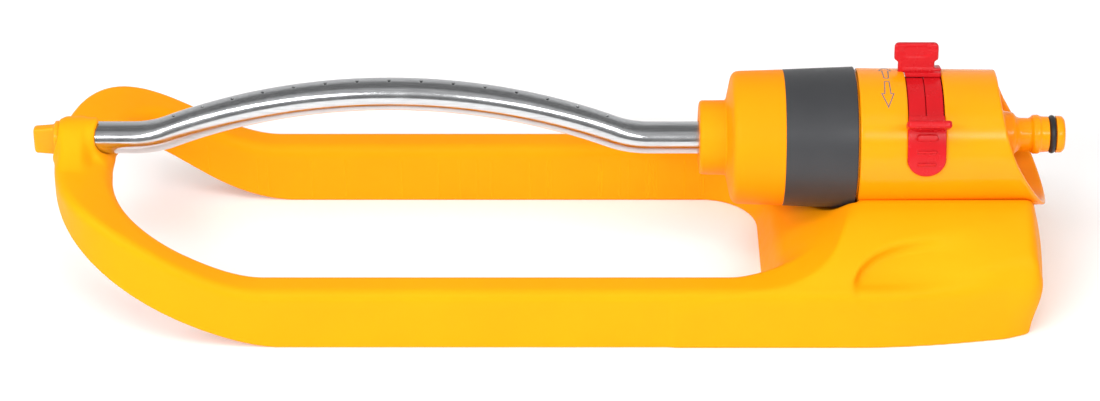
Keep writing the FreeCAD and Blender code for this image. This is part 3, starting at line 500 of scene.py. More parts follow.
def steel(name):
    """Bright turned steel with a fine, uneven grain."""
    n = Nodes(name)
    grain = n.noise(900.0, detail=4.0)
    n.link(n.ramp(grain, (0.42, 0.42, 0.44), (0.62, 0.62, 0.64)), n.shader.inputs["Base Color"])
    n.link(n.span(n.noise(300.0, detail=4.0), 0.21, 0.38), n.shader.inputs["Roughness"])
    n.bump(n.noise(2500.0, detail=2.0), 0.006)
    n.set(Metallic=1.0)
    return n.material


def rubber(name):
    """Black sealing rubber with a dull, dusty skin."""
    n = Nodes(name)
    dust = n.noise(120.0, detail=4.0)
    n.link(n.ramp(dust, (0.010, 0.010, 0.011), (0.022, 0.022, 0.023)), n.shader.inputs["Base Color"])
    n.link(n.span(n.noise(400.0, detail=5.0), 0.38, 0.55), n.shader.inputs["Roughness"])
    n.bump(n.noise(2600.0, detail=3.0), 0.015)
    return n.material


def ink(name):
    """Printed ink that covers unevenly."""
    n = Nodes(name)
    cover = n.noise(700.0, detail=5.0)
    n.link(n.ramp(cover, (0.13, 0.115, 0.11), (0.2, 0.18, 0.17)), n.shader.inputs["Base Color"])
    n.link(n.span(n.noise(500.0), 0.35, 0.5), n.shader.inputs["Roughness"])
    n.bump(n.noise(3000.0, detail=2.0), 0.006)
    return n.material


MATERIALS = {
    "base_plastic": plastic("base yellow", (0.98, 0.342, 0.002), (0.965, 0.328, 0.002), 0.5,
                            0.035, 1500.0, soft=0.08, shine=0.08),
    "body_plastic": plastic("body yellow", (0.98, 0.305, 0.002), (0.965, 0.296, 0.002), 0.2,
                            0.003, 1800.0, soft=0.06, shine=0.22),
    # the base yellow again, darker in green: painted shade for the cap's dimmer top and right side
    "shaded_cap_plastic": plastic("cap yellow painted shade", (0.98, 0.292, 0.002), (0.965, 0.280, 0.002), 0.48,
                           0.02, 1500.0, soft=0.08, shine=0.08),
    "ring_plastic": plastic("ring grey", (0.044, 0.045, 0.048), (0.037, 0.038, 0.041), 0.40,
                            0.02, 1900.0, shine=0.3),
    "slider_plastic": plastic("slider red", (0.54, 0.008, 0.012), (0.50, 0.006, 0.010), 0.25,
                              0.003, 1800.0, soft=0.05, shine=0.27),
    "dark_plastic": plastic("dark plastic", (0.022, 0.022, 0.024), (0.015, 0.015, 0.017), 0.42,
                            0.02, 1700.0),
    "inner_plastic": plastic("natural plastic", (0.62, 0.61, 0.57), (0.55, 0.54, 0.50), 0.4,
                             0.02, 1600.0, soft=0.1),
    "gear_plastic": plastic("gear plastic", (0.78, 0.76, 0.69), (0.70, 0.68, 0.62), 0.32,
                            0.01, 1600.0, soft=0.15),
    "tube_metal": polished_tube("polished tube"),
    "steel": steel("steel"),
    "seal_rubber": rubber("rubber"),
}
INK = ink("printed grey")


def paint(obj, slot_name, material=None):
    obj.data.materials.clear()
    obj.data.materials.append(material or MATERIALS[slot_name])
    return obj


def stands_for(obj, body, slot_name, *nodes):
    """Gives a finished piece its material and body, and hides the CAD nodes it stands for."""
    paint(obj, slot_name)
    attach(obj, body)
    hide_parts(*nodes)
    return obj


# ---- base shell ----
def plan_outline():
    half, tip = HALF_WIDTH, BASE_LOW[0]
    bend_x, end_x = tip + LOOP_REACH, BASE_HIGH[0]
    corner_x, corner_y = end_x - END_CORNER, half - END_CORNER
    upper = quarter_curve((tip, 0), (tip, half), (bend_x, half), fullness=LOOP_FULLNESS, steps=40)
    upper += [(bend_x, half)]
    upper += bezier((130, half), (160, half), (185, corner_y + 2), (corner_x, corner_y))
    turned = (corner_x + 5, corner_y - 7)
    upper += bezier((corner_x, corner_y), (corner_x + 5, corner_y - 1), (corner_x + 5, corner_y - 3), turned)
    upper += bezier(turned, (end_x, 24), (end_x, 12), (end_x, 0))
    upper += [(end_x, 0)]
    return upper + [(x, -y) for x, y in upper[-2:0:-1]]


def opening_tip_outline():
    """The opening's curved end and its long sides, carried on past the other end."""
    half, tip = HALF_WIDTH - RAIL_WIDTH, OPENING_X[0]
    bend_x = tip + OPENING_REACH
    upper = quarter_curve((tip, 0), (tip, half), (bend_x, half), OPENING_FULLNESS, steps=40)
    upper += [(bend_x, half), (BASE_HIGH[0] + 60, half)]
    return upper + [(x, -y) for x, y in upper[:0:-1]]


def opening_distance(x, y, z):
    """Distance to the opening inside the loop; its far wall leans away under the motor."""
    tip = outline_distance(opening_tip_outline(), x[:, :, 0], y[:, :, 0])[:, :, None]
    along = (x - OPENING_LEAN * z - OPENING_X[1]) / math.hypot(1, OPENING_LEAN) + OPENING_CORNER
    across = np.abs(y) - (HALF_WIDTH - RAIL_WIDTH) + OPENING_CORNER
    wall = np.hypot(np.maximum(along, 0), np.maximum(across, 0)) - OPENING_CORNER
    return np.maximum(tip, wall + np.minimum(np.maximum(along, across), 0))


def top_height(x):
    """Height of the loop's top: level rails and the raised end."""
    rise_end, rise_start = RISE_X
    t = np.clip((x - rise_end) / (rise_start - rise_end), 0, 1)
    return TIP_TOP + (RAIL_TOP - TIP_TOP) * t * t * (3 - 2 * t)


def underside_height(x, inwards):
    """Height of the loop's lower edge, which lifts off the ground towards the tip, more so inside."""
    tip, inner_tip = BASE_LOW[0], -193

    def edge(*poles):
        points = np.array(bezier(*poles, steps=40) + [poles[-1]])[::-1]
        return np.interp(x, points[:, 0], points[:, 1])

    outer = edge((-116, 0), (-138, 0), (-178, 20.5), (tip, 51))
    inner = edge((-116, 0), (-146, 0), (-176, 26), (inner_tip, 54))
    return outer + (inner - outer) * np.clip(inwards / RAIL_WIDTH, 0, 1)


def pedestal_side_outline(low):
    """Side view of the pedestal: it rises from the rails in an S to the level shoulder."""
    x, right = PEDESTAL_X, BASE_HIGH[0] + 9
    knee, shoulder = (x + 19, 42.5), (x + 33, SHOULDER_TOP)
    points = [(x - 50, low), (x - 50, RAIL_TOP - 9), (x - 28, RAIL_TOP - 4)]
    points += bezier((x - 18, RAIL_TOP - 1.5), (x, RAIL_TOP + 0.5), (x + 13, 35), knee, steps=20)
    points += bezier(knee, (x + 22.5, 46.5), (x + 24, SHOULDER_TOP), shoulder)
    return points + [shoulder, (right, SHOULDER_TOP), (right, low)]


def pedestal_flank_outline(low):
    """End view of the pedestal: upright sides that curve in to the shoulder."""
    half, top = HALF_WIDTH, SHOULDER_TOP
    right = [(half, low), (half, 18)]
    right += bezier((half, 18), (half, 34), (48, top - 4), (SHOULDER_HALF, top), steps=30)
    right += [(SHOULDER_HALF, top + 0.4)]
    return right + [(-y, z) for y, z in reversed(right)]


def scoop_depth(x, z):
    """Depth of the leaf-shaped scoop in the pedestal's flank: a crisp left end, fading out to the right."""
    along = np.maximum(x - SCOOP_X, 0)
    upper = SCOOP_HALF[0] * (1 - np.exp(-along / SCOOP_OPENS[0])) + 0.1 * along
    lower = SCOOP_HALF[1] * (1 - np.exp(-along / SCOOP_OPENS[1]))
    above = smoothstep((upper - (z - SCOOP_Z)) / SCOOP_RIM[0])
    below = smoothstep((lower + (z - SCOOP_Z)) / SCOOP_RIM[1])
    fading = 1 - smoothstep((along - SCOOP_FADE[0]) / (SCOOP_FADE[1] - SCOOP_FADE[0]))
    return SCOOP_DEPTH * above * below * fading * smoothstep(along / SCOOP_START)


def end_swell(x, z):
    """How far the hose end's outline is drawn in above and below its fullest height."""
    below = SWELL_DRAWN_IN[0] * smoothstep((SWELL_Z[0] - z) / SWELL_REACH)
    above = SWELL_DRAWN_IN[1] * smoothstep((z - SWELL_Z[1]) / SWELL_REACH)
    weight = smoothstep((x - SWELL_X[0]) / (SWELL_X[1] - SWELL_X[0]))
    return (below + above - SWELL_FULLNESS) * weight


def saddle_height(x, y):
    """Height of the hump on the loop's tip that carries the tube's bearing."""
    across = smoothstep((SADDLE_HALF[1] - np.abs(y)) / (SADDLE_HALF[1] - SADDLE_HALF[0]))
    rear = smoothstep((x - BASE_LOW[0]) / SADDLE_ENDS[0])
    front = smoothstep((BEARING_X[1] - 3 - x) / SADDLE_ENDS[1])
    return SADDLE * across * front * rear


def bearing_boss(x, y, height, radius):
    """The tube's bearing: a slightly flared boss with an oblique inner end."""
    inner_end = (x - BEARING_X[1] + BEARING_LEAN[0] * height + BEARING_LEAN[1] * np.abs(y)) / 1.06
    flared = radius - BEARING_R - BEARING_FLARE * (x - BEARING_X[0])
    return smooth_max(flared, np.maximum(BEARING_X[0] - x, inner_end), 0.9)


def screw_post(x, y, z, post_x):
    """A hollow post that carries the barrel on one of the base's screws."""
    off = np.hypot(x - post_x, y)
    outside = common(off - SCREW_POST_R[1], SCREW_SEAT_Z - SCREW_SEAT_WALL - z, z - AXIS_Z + BARREL_R[0])
    return np.maximum(outside, SCREW_POST_R[0] - off)


def base_field(x, y, z):
    outline = outline_distance(plan_outline(), x[:, :, 0], y[:, :, 0])[:, :, None]
    outer = outline + end_swell(x, z)
    opening = opening_distance(x, y, z)
    side_view = outline_distance(pedestal_side_outline(-FLOOR_MARGIN), x[:, 0, :], z[:, 0, :])[:, None, :]
    end_view = outline_distance(pedestal_flank_outline(-FLOOR_MARGIN), y[0, :, :], z[0, :, :])[None, :, :]

    top = (z - top_height(x) - saddle_height(x, y)) / 1.12
    loop = smooth_max(outer, top, RAIL_ROUND)
    pedestal = smooth_max(end_view + scoop_depth(x, z), side_view, PEDESTAL_ROUND)
    pedestal = smooth_max(pedestal, outer, 5.0)
    inner_round = INNER_ROUND + 8.0 * smoothstep((x - 76) / 20) * smoothstep((52 - np.abs(y)) / 14)
    solid = smooth_max(smooth_min(loop, pedestal, PEDESTAL_BLEND), -opening, inner_round)

    height = z - AXIS_Z
    radius = np.hypot(y, height)
    skin = np.maximum(radius - (RING_R[1] + RING_SKIN + BASE_WALL), CAP_LOW[0] - x)
    hollow = np.maximum(solid + BASE_WALL, -skin)
    under = (underside_height(x, -outline) - z) / 1.2
    shell = smooth_max(smooth_max(solid, under, 1.2), -hollow, 0.8)
    shell = smooth_min(shell, bearing_boss(x, y, height, radius), BEARING_BLEND)

    cradle = np.maximum(radius - BARREL_R[0], (BARREL_X - 0.4) - x)
    ring_room = np.maximum(radius - (RING_R[1] + RING_GAP), layer(x, (CAP_LOW[0] - 5, BARREL_X)))
    bore = np.maximum(radius - (TUBE_R + BEARING_GAP), x - BORE_END_X)
    for tool in (cradle, ring_room, bore):
        shell = smooth_max(shell, -tool, 0.5)
    for post_x in SCREW_POSTS:
        shell = smooth_min(shell, screw_post(x, y, z, post_x), 1.0)
    return np.maximum(shell, -z)


def base_shell():
    low = (BASE_LOW[0] - 3, BASE_LOW[1] - 3, -3)
    high = (BASE_HIGH[0] + 3, BASE_HIGH[1] + 3, BASE_HIGH[2] + 3)
    obj = field_object("base_shell", base_field, low, high, BASE_STEP, lift=False)
    return stands_for(obj, "base", "base_plastic", "base_frame")


# ---- rear barrel ----
def barrel_radius(x):
    """The barrel's outer radius, which tapers a little towards its lip."""
    return BARREL_R[0] + (BARREL_R[1] - BARREL_R[0]) * (x - BARREL_X) / (BARREL_LIP_X - BARREL_X)


def barrel_cut_outline():
    """Side view of what the slanting cut takes off the barrel's open end."""
    cut = [(240, -36), (BARREL_LIP_X + 0.5, -36)]
    cut += bezier((BARREL_LIP_X - 0.7, -29), (213.2, -20), (206.4, -9), BARREL_CUT)
    cut += bezier(BARREL_CUT, (195.8, 13), (192.4, 22), (192.0, 36))
    return cut + [(192.0, 40), (240, 40)]


def barrel_field(x, y, z):
    r = polar(y, z)[0]
    inside = BARREL_BORE - r
    wall = smooth_max(r - barrel_radius(x), inside, 0.4)
    beyond = outline_distance(barrel_cut_outline(), x[:, 0, :], z[:, 0, :])[:, None, :]
    wall = smooth_max(wall, -beyond, 1.1)
    wall = smooth_max(wall, BARREL_X - x, 0.8)
    lip = common(r - (RING_BORE - 0.1), inside, layer(x, (BARREL_LOW[0], BARREL_X + 1)))
    groove = np.maximum(layer(x, GROOVE_X), r - GROOVE_R)
    slot = smooth_max(layer(x, SLOT_X), SLOT_END_Z - z, 1.5)
    wall = smooth_max(np.maximum(np.minimum(wall, lip), -groove), -slot, 0.7)
    hole = INLET_HOLE_R - np.hypot(y, z - INLET_LIFT)
    bulkhead = common(layer(x, BULKHEAD_X), r - BARREL_BORE - 1, hole)
    return smooth_min(wall, bulkhead, 1.5)


def rear_barrel():
    reach = BARREL_R[0] + 1.5
    low, high = (BARREL_LOW[0] - 1.5, -reach, -reach), (BARREL_LIP_X + 3.5, reach, reach)
    obj = field_object("rear_barrel_shell", barrel_field, low, high, BARREL_STEP)
    return stands_for(obj, "base", "body_plastic", "rear_barrel")


# ---- front cap, ring, connector ----
def turned_corners(name, corners, segments, lift=0.0):
    """Turns an outline given as (x, r, rounding) corners."""
    profile = rounded([c[:2] for c in corners], [c[2] for c in corners])
    return turned_object(name, profile, segments, lift)


def front_cap():
    x0, x1 = CAP_LOW[0], CAP_HIGH[0] - CAP_LIP
    corners = [
        (x0, TUBE_R + 0.3, 0.2), (x0, COLLAR_R - 0.1, 1.9), (76.2, COLLAR_R, 1.0), (78.9, 28.8, 3.0),
        (x1, CAP_R, 0.6), (x1, RING_BORE - 0.1, 0), (x1 + CAP_LIP, RING_BORE - 0.1, 0.2),
        (x1 + CAP_LIP, BARREL_BORE, 0.2), (88.0, BARREL_BORE - 0.2, 2), (83.0, 26.0, 2),
        (79.2, HUB_BORE + 2.0, 2), (89.0, HUB_BORE + 2.0, 0.3), (89.0, HUB_BORE, 0.2),
        (79.4, HUB_BORE, 0.2), (79.4, TUBE_R + 0.3, 0.2)]
    obj = stands_for(turned_corners("front_cap_shell", corners, 192), "base", "base_plastic", "front_cap")
    # the cap is base yellow; this darker copy paints in the shade on its top and right side
    return paint(obj, "base_plastic", MATERIALS["shaded_cap_plastic"])


def flow_ring():
    x0, x1 = RING_LOW[0], RING_HIGH[0]
    lip_r = RING_BORE + 0.35
    corners = [
        (x0, RING_BORE, 0.1), (x0, lip_r, 0.1), (x0 + RING_GROOVE, lip_r, 0.1),
        (x0 + RING_GROOVE, RING_R[0], 0.35), (x1 - RING_GROOVE, RING_R[1], 0.35),
        (x1 - RING_GROOVE, lip_r, 0.1), (x1, lip_r, 0.1), (x1, RING_BORE, 0.1)]
    return stands_for(turned_corners("flow_ring_shell", corners, 192), "flow", "ring_plastic", "flow_ring")


def hose_spigot():
    """The stepped hose nose, with the seat of its O-ring near the tip."""
    tip, bore = SPIGOT_HIGH[0], SPIGOT_BORE
    seat = SEAL_MIDDLE - 1.6, SEAL_MIDDLE + 1.6
    corners = [
        (184.0, bore + 2, 0), (184.0, 9.55, 0.2), (189.2, 9.55, 0.1), (189.2, 13.0, 0.2),
        (194.0, 13.0, 1.2), (197.0, 9.9, 1.4), (200.8, 9.7, 1.2), (202.8, 7.2, 1.6), (208.2, 7.1, 1.4),
        (209.4, 8.5, 0.8), (211.9, 8.5, 0.8), (212.8, 7.8, 0.6), (seat[0], 7.7, 0.25),
        (seat[0], 6.4, 0), (seat[1], 6.4, 0), (seat[1], 8.0, 0.2), (tip - 1.2, 8.0, 1.2),
        (tip, 6.9, 0.8), (tip, bore, 0.3), (190.0, bore, 0), (190.0, bore + 2, 0)]
    obj = turned_corners("hose_connector", corners, 128, INLET_LIFT)
    return stands_for(obj, "base", "body_plastic", "hose_spigot")


def spigot_seal():
    turns = np.linspace(0, 2 * math.pi, 28, endpoint=False)
    profile = [(SEAL_MIDDLE + SEAL_WIRE * math.cos(a), SEAL_R + SEAL_WIRE * math.sin(a)) for a in turns]
    obj = turned_object("hose_seal", profile, 128, INLET_LIFT)
    return stands_for(obj, "base", "seal_rubber", "spigot_seal")


# ---- sliders ----
def paddle_field(across, out, x_off):
    """The slider's finger paddle: a waisted blade with a shallow dish in its faces."""
    right = [(7.9, 29.6), (7.9, 34.4), (9.55, 35.4), (9.55, PADDLE_TIP_R)]
    outline = rounded([(-u, v) for u, v in right] + right[::-1], [0, 0.6, 0.8, 2.2, 2.2, 0.8, 0.6, 0])
    blade = smooth_max(outline_distance(outline, x_off, out), np.abs(across) - PADDLE_HALF_THICK, 1.3)
    dish = np.hypot(np.maximum(np.abs(x_off) - 2.5, 0), (out - 39.0) * 1.6) / 5.2
    return blade + 0.3 * smoothstep((1 - dish) / 0.5)


def slider_field(at, side, tail_sweep, paddle_x):
    """Distance field of a limit slider; at is its paddle's clock angle, side is -1 in front, +1 behind."""
    lean = -side
    edge_gap, middle_gap = SHEET_GAP
    if side < 0:
        sheet_x = (SLOT_X[0] + edge_gap, SLOT_MID - middle_gap)
        foot_x = (GROOVE_X[0] + FOOT_GAP, sheet_x[1])
    else:
        sheet_x = (SLOT_MID + middle_gap, SLOT_X[1] - edge_gap)
        foot_x = (sheet_x[0], GROOVE_X[1] - FOOT_GAP)

    def field(x, y, z):
        r, clock = polar(y, z)
        clock = np.where(clock < -60, clock + 360, clock)
        arc = np.radians(clock - at) * lean * r
        x_off = x - SLOT_MID

        round_end = np.hypot(x_off, np.maximum(arc - PAD_ARC[1] * DEG * PAD_MEAN_R, 0)) - PAD_HALF
        pad = smooth_max(round_end, -(arc + PAD_ARC[0] * DEG * PAD_MEAN_R), 0.8)
        pad = smooth_max(pad, layer(r, PAD_R), 0.5)
        in_half = layer(x, sheet_x)
        near = np.abs(arc) - PAD_ARC[0] * DEG * NECK_MEAN_R
        neck = common(in_half, near, layer(r, (FOOT_R[0], PAD_R[0] + 0.5)))
        inner_pad = smooth_max(np.abs(x_off) - INNER_PAD_HALF[0],
                               np.abs(arc + INNER_PAD_SHIFT) - INNER_PAD_HALF[1], 0.5)
        inner_pad = np.maximum(inner_pad, layer(r, (TAIL_R + 0.3, PAD_R[0] + 0.5)))
        foot = common(layer(x, foot_x), near, layer(r, FOOT_R))
        tail = common(arc, -arc - tail_sweep * DEG * TAIL_MEAN_R, layer(r, (FOOT_R[0], TAIL_R)))
        tail = smooth_max(tail, in_half, 0.35)

        a = math.radians(at)
        out = y * math.cos(a) + z * math.sin(a)
        across = (-y * math.sin(a) + z * math.cos(a)) * lean
        body = smooth_min(pad, paddle_field(across, out, x - paddle_x), 1.0)
        body = union(body, neck, inner_pad, foot, tail)
        rise = r - PAD_R[1]
        for middle, half_length, half_width in RIBS:
            bar = np.hypot(np.maximum(np.abs(x_off) - half_length, 0), arc - middle * DEG * PAD_R[1])
            rib = smooth_max(bar - half_width, np.maximum(rise - RIB_RISE, -rise - 0.6), 0.35)
            body = smooth_min(body, rib, 0.3)
        return body

    return field


def motor_grid(low, high, margin):
    """The corners of a node's box with a margin, with z measured from the motor's axis."""
    axis = np.array((0, 0, AXIS_Z))
    return low - margin - axis, high + margin - axis


def slider(name, node, body, at, side, tail_sweep, paddle_x):
    low, high = motor_grid(*box_mm(node), 1.5)
    obj = field_object(name, slider_field(at, side, tail_sweep, paddle_x), low, high, FINE_STEP)
    return stands_for(obj, body, "slider_plastic", node)


# ---- end plug ----
def plug_field(x, y, z):
    r = polar(y, z)[0]
    tip = PLUG_LOW[0]
    taper = 6.0 + 0.8 * np.clip((x - tip) / 9.0, 0, 1)
    grip = smooth_max(np.abs(z + 0.9) - taper, np.abs(y) - 2.3, 1.4)
    grip = smooth_max(grip, layer(x, (tip, -213.5)), 1.6)
    head = smooth_max(r - 7.3, layer(x, PLUG_HEAD_X), 0.6)
    neck = smooth_max(r - 6.1, layer(x, PLUG_NECK_X), 0.6)
    groove = np.maximum(5.0 - r, layer(x, PLUG_GROOVE_X))
    neck = np.maximum(neck, -groove)
    hole = np.maximum(r - 0.9, PIN_HOLE_X - x)
    return np.maximum(np.minimum(smooth_min(grip, head, 1.2), neck), -hole)


def end_plug():
    low, high = motor_grid(PLUG_LOW, PLUG_HIGH, 1.0)
    obj = field_object("end_plug_grip", plug_field, low, high, FINE_STEP)
    return stands_for(obj, "plug", "body_plastic", "end_plug")


# ---- spray tube ----
def tube_path():
    """The tube's centre line: the place and slope at an arc length, its whole length, and each jet's."""
    angle = math.acos(1 - ARCH_RISE / (ARCH_R + BEND_R))
    reach = (ARCH_R + BEND_R) * math.sin(angle)
    left, right = ARCH_X - reach, ARCH_X + reach
    entry, bend, arch, exit_ = left - TUBE_LOW[0], BEND_R * angle, 2 * ARCH_R * angle, TUBE_HIGH[0] - right

    def at(s):
        if s <= entry:
            return (TUBE_LOW[0] + s, 0.0), 0.0
        s -= entry
        if s <= bend:
            t = s / BEND_R
            return (left + BEND_R * math.sin(t), BEND_R * (1 - math.cos(t))), t
        s -= bend
        if s <= arch:
            t = angle - s / ARCH_R
            return (ARCH_X - ARCH_R * math.sin(t), ARCH_RISE - ARCH_R * (1 - math.cos(t))), t
        s -= arch
        if s <= bend:
            t = angle - s / BEND_R
            return (right - BEND_R * math.sin(t), BEND_R * (1 - math.cos(t))), -t
        return (right + s - bend, 0.0), 0.0

    middle = entry + bend + arch / 2
    step = ARCH_R * math.radians(JET_STEP_DEG)
    jets = [middle + step * (i - (JET_COUNT - 1) / 2) for i in range(JET_COUNT)]
    return at, entry + 2 * bend + arch + exit_, jets


def tube_stations(total, jets, cell):
    """Arc lengths of the tube's rings, and which ring begins the patch of each jet."""
    stations, jet_rows, s = [], {}, 0.0
    for stop, jet in [(jet - JET_CELLS / 2 * cell, jet) for jet in jets] + [(total, None)]:
        count = max(1, int(round((stop - s) / TUBE_STEP)))
        stations += [s + (stop - s) * i / count for i in range(count)]
        if jet is not None:
            jet_rows[len(stations)] = jet
            stations += [stop + cell * i for i in range(JET_CELLS)]
            s = stop + cell * JET_CELLS
    return stations + [total], jet_rows


def patch_border(rows, row, cell):
    """The vertices round a jet's open patch, each with its offset along and round the tube."""
    h = JET_CELLS // 2
    walk = [(0, k) for k in range(-h, h)] + [(i, h) for i in range(JET_CELLS)]
    walk += [(JET_CELLS, k) for k in range(h, -h, -1)] + [(i, -h) for i in range(JET_CELLS, 0, -1)]
    return [(rows[row + i][k % TUBE_SIDES], (i - h) * cell, k * cell) for i, k in walk]


def bridge(bm, a, b):
    """Faces between two rings of as many vertices."""
    for k in range(len(a)):
        m = (k + 1) % len(a)
        bm.faces.new((a[k], a[m], b[m], b[k]))


def spray_tube():
    """Swept tube whose mesh opens into a clean ring of faces round every jet."""
    at, total, jets = tube_path()
    cell = 2 * math.pi * TUBE_R / TUBE_SIDES
    tilt = math.radians(REST_TILT)

    def place(s, turn, r):
        """Point at arc length s, turned round the centre line from its outward side, at radius r."""
        (cx, cz), slope = at(min(max(s, 0.0), total))
        out = r * math.cos(turn)
        x = cx - math.sin(slope) * out
        z = cz + math.cos(slope) * out
        y = r * math.sin(turn)
        return (x * MM, (y * math.cos(tilt) - z * math.sin(tilt)) * MM,
                (AXIS_Z + y * math.sin(tilt) + z * math.cos(tilt)) * MM)

    stations, jet_rows = tube_stations(total, jets, cell)
    bm = bmesh.new()

    def skin(r):
        return [[bm.verts.new(place(s, 2 * math.pi * k / TUBE_SIDES, r)) for k in range(TUBE_SIDES)]
                for s in stations]

    outer, inner = skin(TUBE_R), skin(TUBE_R - TUBE_WALL)
    open_cells = {(row + i, (k - JET_CELLS // 2) % TUBE_SIDES)
                  for row in jet_rows for i in range(JET_CELLS) for k in range(JET_CELLS)}
    for rows in (outer, inner):
        for i, (a, b) in enumerate(zip(rows, rows[1:])):
            for k in range(TUBE_SIDES):
                if (i, k) not in open_cells:
                    m = (k + 1) % TUBE_SIDES
                    bm.faces.new((a[k], a[m], b[m], b[k]))
    for end in (0, -1):
        bridge(bm, outer[end], inner[end])

    def jet_side(rows, row, jet, r, rings):
        """The patch's border and the rings that narrow it to the jet, on one side of the wall."""
        edge = patch_border(rows, row, cell)
        chain = [[v for v, _, _ in edge]]
        for size, sink in rings:
            turns = [math.atan2(dk, ds) for _, ds, dk in edge]
            chain.append([bm.verts.new(place(jet + size * math.cos(a), size * math.sin(a) / TUBE_R, r + sink))
                          for a in turns])
        return chain

    for row, jet in jet_rows.items():
        chain = jet_side(outer, row, jet, TUBE_R, JET_RINGS)
        chain += jet_side(inner, row, jet, TUBE_R - TUBE_WALL, JET_INNER_RINGS)[::-1]
        for a, b in zip(chain, chain[1:]):
            bridge(bm, a, b)
    bmesh.ops.recalc_face_normals(bm, faces=bm.faces)
    obj = mesh_object("bent_spray_tube", [], [])
    bm.to_mesh(obj.data)
    bm.free()
    smooth_shaded(obj, 35.0)
    return stands_for(obj, "arm", "tube_metal", "spray_tube")


# ---- printed marks on the barrel ----
def printed(name, outline, hole):
    """A thin closed ink mark between two outlines of the same length, wrapped on the barrel."""
    bm = bmesh.new()

    def place(p, height):
        x = ARROW_X + p[0]
        r = barrel_radius(x) + height
        a = math.radians(ARROW_CLOCK) + p[1] / BARREL_MEAN_R
        return x * MM, r * math.cos(a) * MM, (AXIS_Z + r * math.sin(a)) * MM

    below, above = INK_HEIGHT
    rows = [[bm.verts.new(place(p, height)) for p in ring] for ring, height in
            ((outline, below), (outline, above), (hole, above), (hole, below))]
    for a, b in zip(rows, rows[1:] + rows[:1]):
        bridge(bm, a, b)
    bmesh.ops.recalc_face_normals(bm, faces=bm.faces)
    obj = mesh_object(name, [], [])
    bm.to_mesh(obj.data)
    bm.free()
    paint(obj, "dark_plastic", INK)
    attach(obj, "base")
    return obj


def offset_outline(outline, width):
    """The same outline moved inwards, corner by corner, by the stroke's width."""
    result = []
    count = len(outline)
    for i in range(count):
        p = np.array(outline[i])
        a = p - np.array(outline[i - 1])
        b = np.array(outline[(i + 1) % count]) - p
        na = np.array((-a[1], a[0])) / np.linalg.norm(a)
        nb = np.array((-b[1], b[0])) / np.linalg.norm(b)
        result.append(tuple(p + (na + nb) * width / (1 + float(na @ nb))))
    return result


def matched(outer, inner, step=0.8):
    """Refines two outlines with the same corners in step with each other."""
    first, second = [], []
    count = len(outer)
    for i in range(count):
        j = (i + 1) % count
        n = max(1, int(math.dist(outer[i], outer[j]) / step))
        for t in range(n):
            f = t / n
            first.append(tuple(np.array(outer[i]) * (1 - f) + np.array(outer[j]) * f))
            second.append(tuple(np.array(inner[i]) * (1 - f) + np.array(inner[j]) * f))
    return first, second


def arrow_outline(sign):
    """An arrow along the barrel's circumference: shaft near the top, head pointing down the side."""
    points = [(-1.2, 1.0), (-1.55, 8.6), (-2.95, 8.6), (0.0, 16.4), (2.95, 8.6), (1.55, 8.6), (1.2, 1.0)]
    outline = [(x, sign * arc) for x, arc in points]
    return outline if sign < 0 else outline[::-1]


def marks():
    for name, sign in (("front_arrow", 1), ("rear_arrow", -1)):
        outline = arrow_outline(sign)
        printed(name, *matched(outline, offset_outline(outline, ARROW_LINE)))


# ---- scene ----
def dress_cad_nodes():
    """Gives each CAD node that stays in view its record slot's material."""
    slots = {s["node"]: s["material_slot"] for s in frame["record"]["subparts"]}
    for node, obj in frame["nodes"].items():
        if obj.hide_render:
            continue
        name = slots.get(node)
        material = MATERIALS.get(name, MATERIALS["inner_plastic"])
        for material_slot in obj.material_slots:
            material_slot.material = material


def floor():
    half = FLOOR_HALF
    corners = [(-half, -half, 0), (half, -half, 0), (half, half, 0), (-half, half, 0)]
    obj = mesh_object("floor", corners, [(0, 1, 2, 3)])
    n = Nodes("pale floor")
    n.link(n.ramp(n.noise(3.0), (0.90, 0.90, 0.90), (0.93, 0.93, 0.93)), n.shader.inputs["Base Color"])
    n.set(Roughness=0.6, Emission_Strength=0.1)
    n.shader.inputs["Emission Color"].default_value = (1.0, 1.0, 1.0, 1.0)
    n.shader.inputs["Specular IOR Level"].default_value = 0.2
    obj.data.materials.append(n.material)


def area_light(name, place, target, size, power, mirrored=False):
    """A rectangular panel aimed at a point; only a mirrored one shows up in glossy surfaces."""
    data = bpy.data.lights.new(name, "AREA")
    data.shape = "RECTANGLE"
    data.size, data.size_y = size
    data.energy = power
    obj = bpy.data.objects.new(name, data)
    obj.location = place
    obj.rotation_euler = (Vector(target) - Vector(place)).to_track_quat("-Z", "Y").to_euler()
    obj.visible_glossy = mirrored
    bpy.context.scene.collection.objects.link(obj)


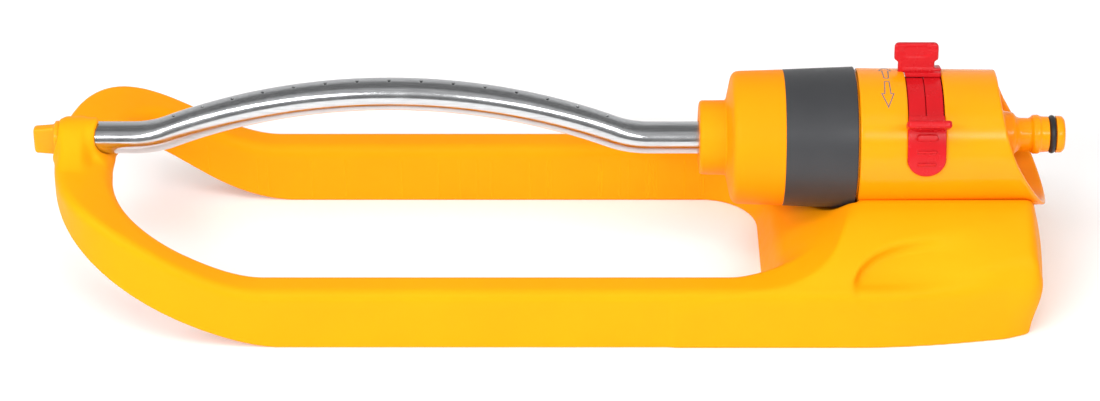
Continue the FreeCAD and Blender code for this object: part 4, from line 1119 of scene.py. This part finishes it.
def studio_world():
    """Even white light for diffuse surfaces; glossy ones mirror a darker room with bright panels."""
    world = bpy.data.worlds.new("studio")
    bpy.context.scene.world = world
    world.use_nodes = True
    tree = world.node_tree
    out = tree.nodes["World Output"]
    even = tree.nodes["Background"]
    even.inputs["Color"].default_value = (1.0, 1.0, 1.0, 1.0)
    even.inputs["Strength"].default_value = WORLD_LIGHT
    room = tree.nodes.new("ShaderNodeBackground")
    mix = tree.nodes.new("ShaderNodeMixShader")
    rays = tree.nodes.new("ShaderNodeLightPath")
    place = tree.nodes.new("ShaderNodeTexCoord")
    split = tree.nodes.new("ShaderNodeSeparateXYZ")
    flip = tree.nodes.new("ShaderNodeMath")
    flip.operation = "MULTIPLY"
    flip.inputs[1].default_value = -1.0
    turn = tree.nodes.new("ShaderNodeMath")
    turn.operation = "ARCTAN2"
    scale = tree.nodes.new("ShaderNodeMapRange")
    scale.inputs["From Max"].default_value = math.pi
    ramp = tree.nodes.new("ShaderNodeValToRGB")
    stops = [(0.0, 0.22), (0.10, 0.24), (0.16, 0.50), (0.36, 0.52), (0.44, 0.20), (0.66, 0.24), (0.78, 0.62),
             (1.0, 0.80)]
    while len(ramp.color_ramp.elements) < len(stops):
        ramp.color_ramp.elements.new(0.5)
    for element, (at, level) in zip(ramp.color_ramp.elements, stops):
        element.position = at
        element.color = (level, level, level, 1.0)
    link = tree.links.new
    link(place.outputs["Generated"], split.inputs[0])
    link(split.outputs["Y"], flip.inputs[0])
    link(split.outputs["Z"], turn.inputs[0])
    link(flip.outputs[0], turn.inputs[1])
    link(turn.outputs[0], scale.inputs["Value"])
    link(scale.outputs[0], ramp.inputs["Fac"])
    link(ramp.outputs["Color"], room.inputs["Color"])
    link(rays.outputs["Is Glossy Ray"], mix.inputs["Fac"])
    link(even.outputs[0], mix.inputs[1])
    link(room.outputs[0], mix.inputs[2])
    link(mix.outputs[0], out.inputs["Surface"])


def lighting():
    studio_world()
    bpy.context.scene.view_settings.view_transform = "Standard"
    for side, x, power in (("left", -1.0, 17), ("right", 0.95, 14)):
        area_light(side + " front strip", (x, -1.44, 1.26), (0, 0, 0.05), (1.25, 0.26), power, mirrored=True)
    area_light("front fill", (-0.45, -1.9, 0.45), (-0.1, 0, 0.04), (2.4, 0.6), 13)
    area_light("near top", (-0.22, -0.42, 0.95), (-0.12, 0, 0.03), (1.1, 0.3), 4.5)
    area_light("top softbox", (0.0, 0.25, 1.5), (0, 0, 0.03), (2.2, 1.4), 7)
    area_light("left fill", (-1.6, -0.4, 0.6), (0, 0, 0.05), (0.8, 0.8), 4)


def camera():
    elevation = math.radians(CAMERA_ELEVATION)
    target = Vector((0, 0, AXIS_Z * MM / 2))
    data = bpy.data.cameras.new("camera")
    data.sensor_width = CAMERA_SENSOR
    data.lens = CAMERA_LENS
    data.clip_start, data.clip_end = 0.05, 50.0
    obj = bpy.data.objects.new("camera", data)
    obj.location = target + CAMERA_DISTANCE * Vector((0, -math.cos(elevation), math.sin(elevation)))
    obj.rotation_euler = (target - obj.location).to_track_quat("-Z", "Y").to_euler()
    bpy.context.scene.collection.objects.link(obj)
    bpy.context.scene.camera = obj


base_shell()
rear_barrel()
front_cap()
flow_ring()
hose_spigot()
spigot_seal()
slider("front_slider_shell", "front_slider", "front_limit", FRONT_CLOCK, -1, FRONT_TAIL, SLOT_MID)
slider("rear_slider_shell", "rear_slider", "rear_limit", REAR_CLOCK, 1, REAR_TAIL,
       SLOT_MID - REAR_PADDLE_SHIFT)
end_plug()
spray_tube()
marks()
dress_cad_nodes()
floor()
lighting()
camera()
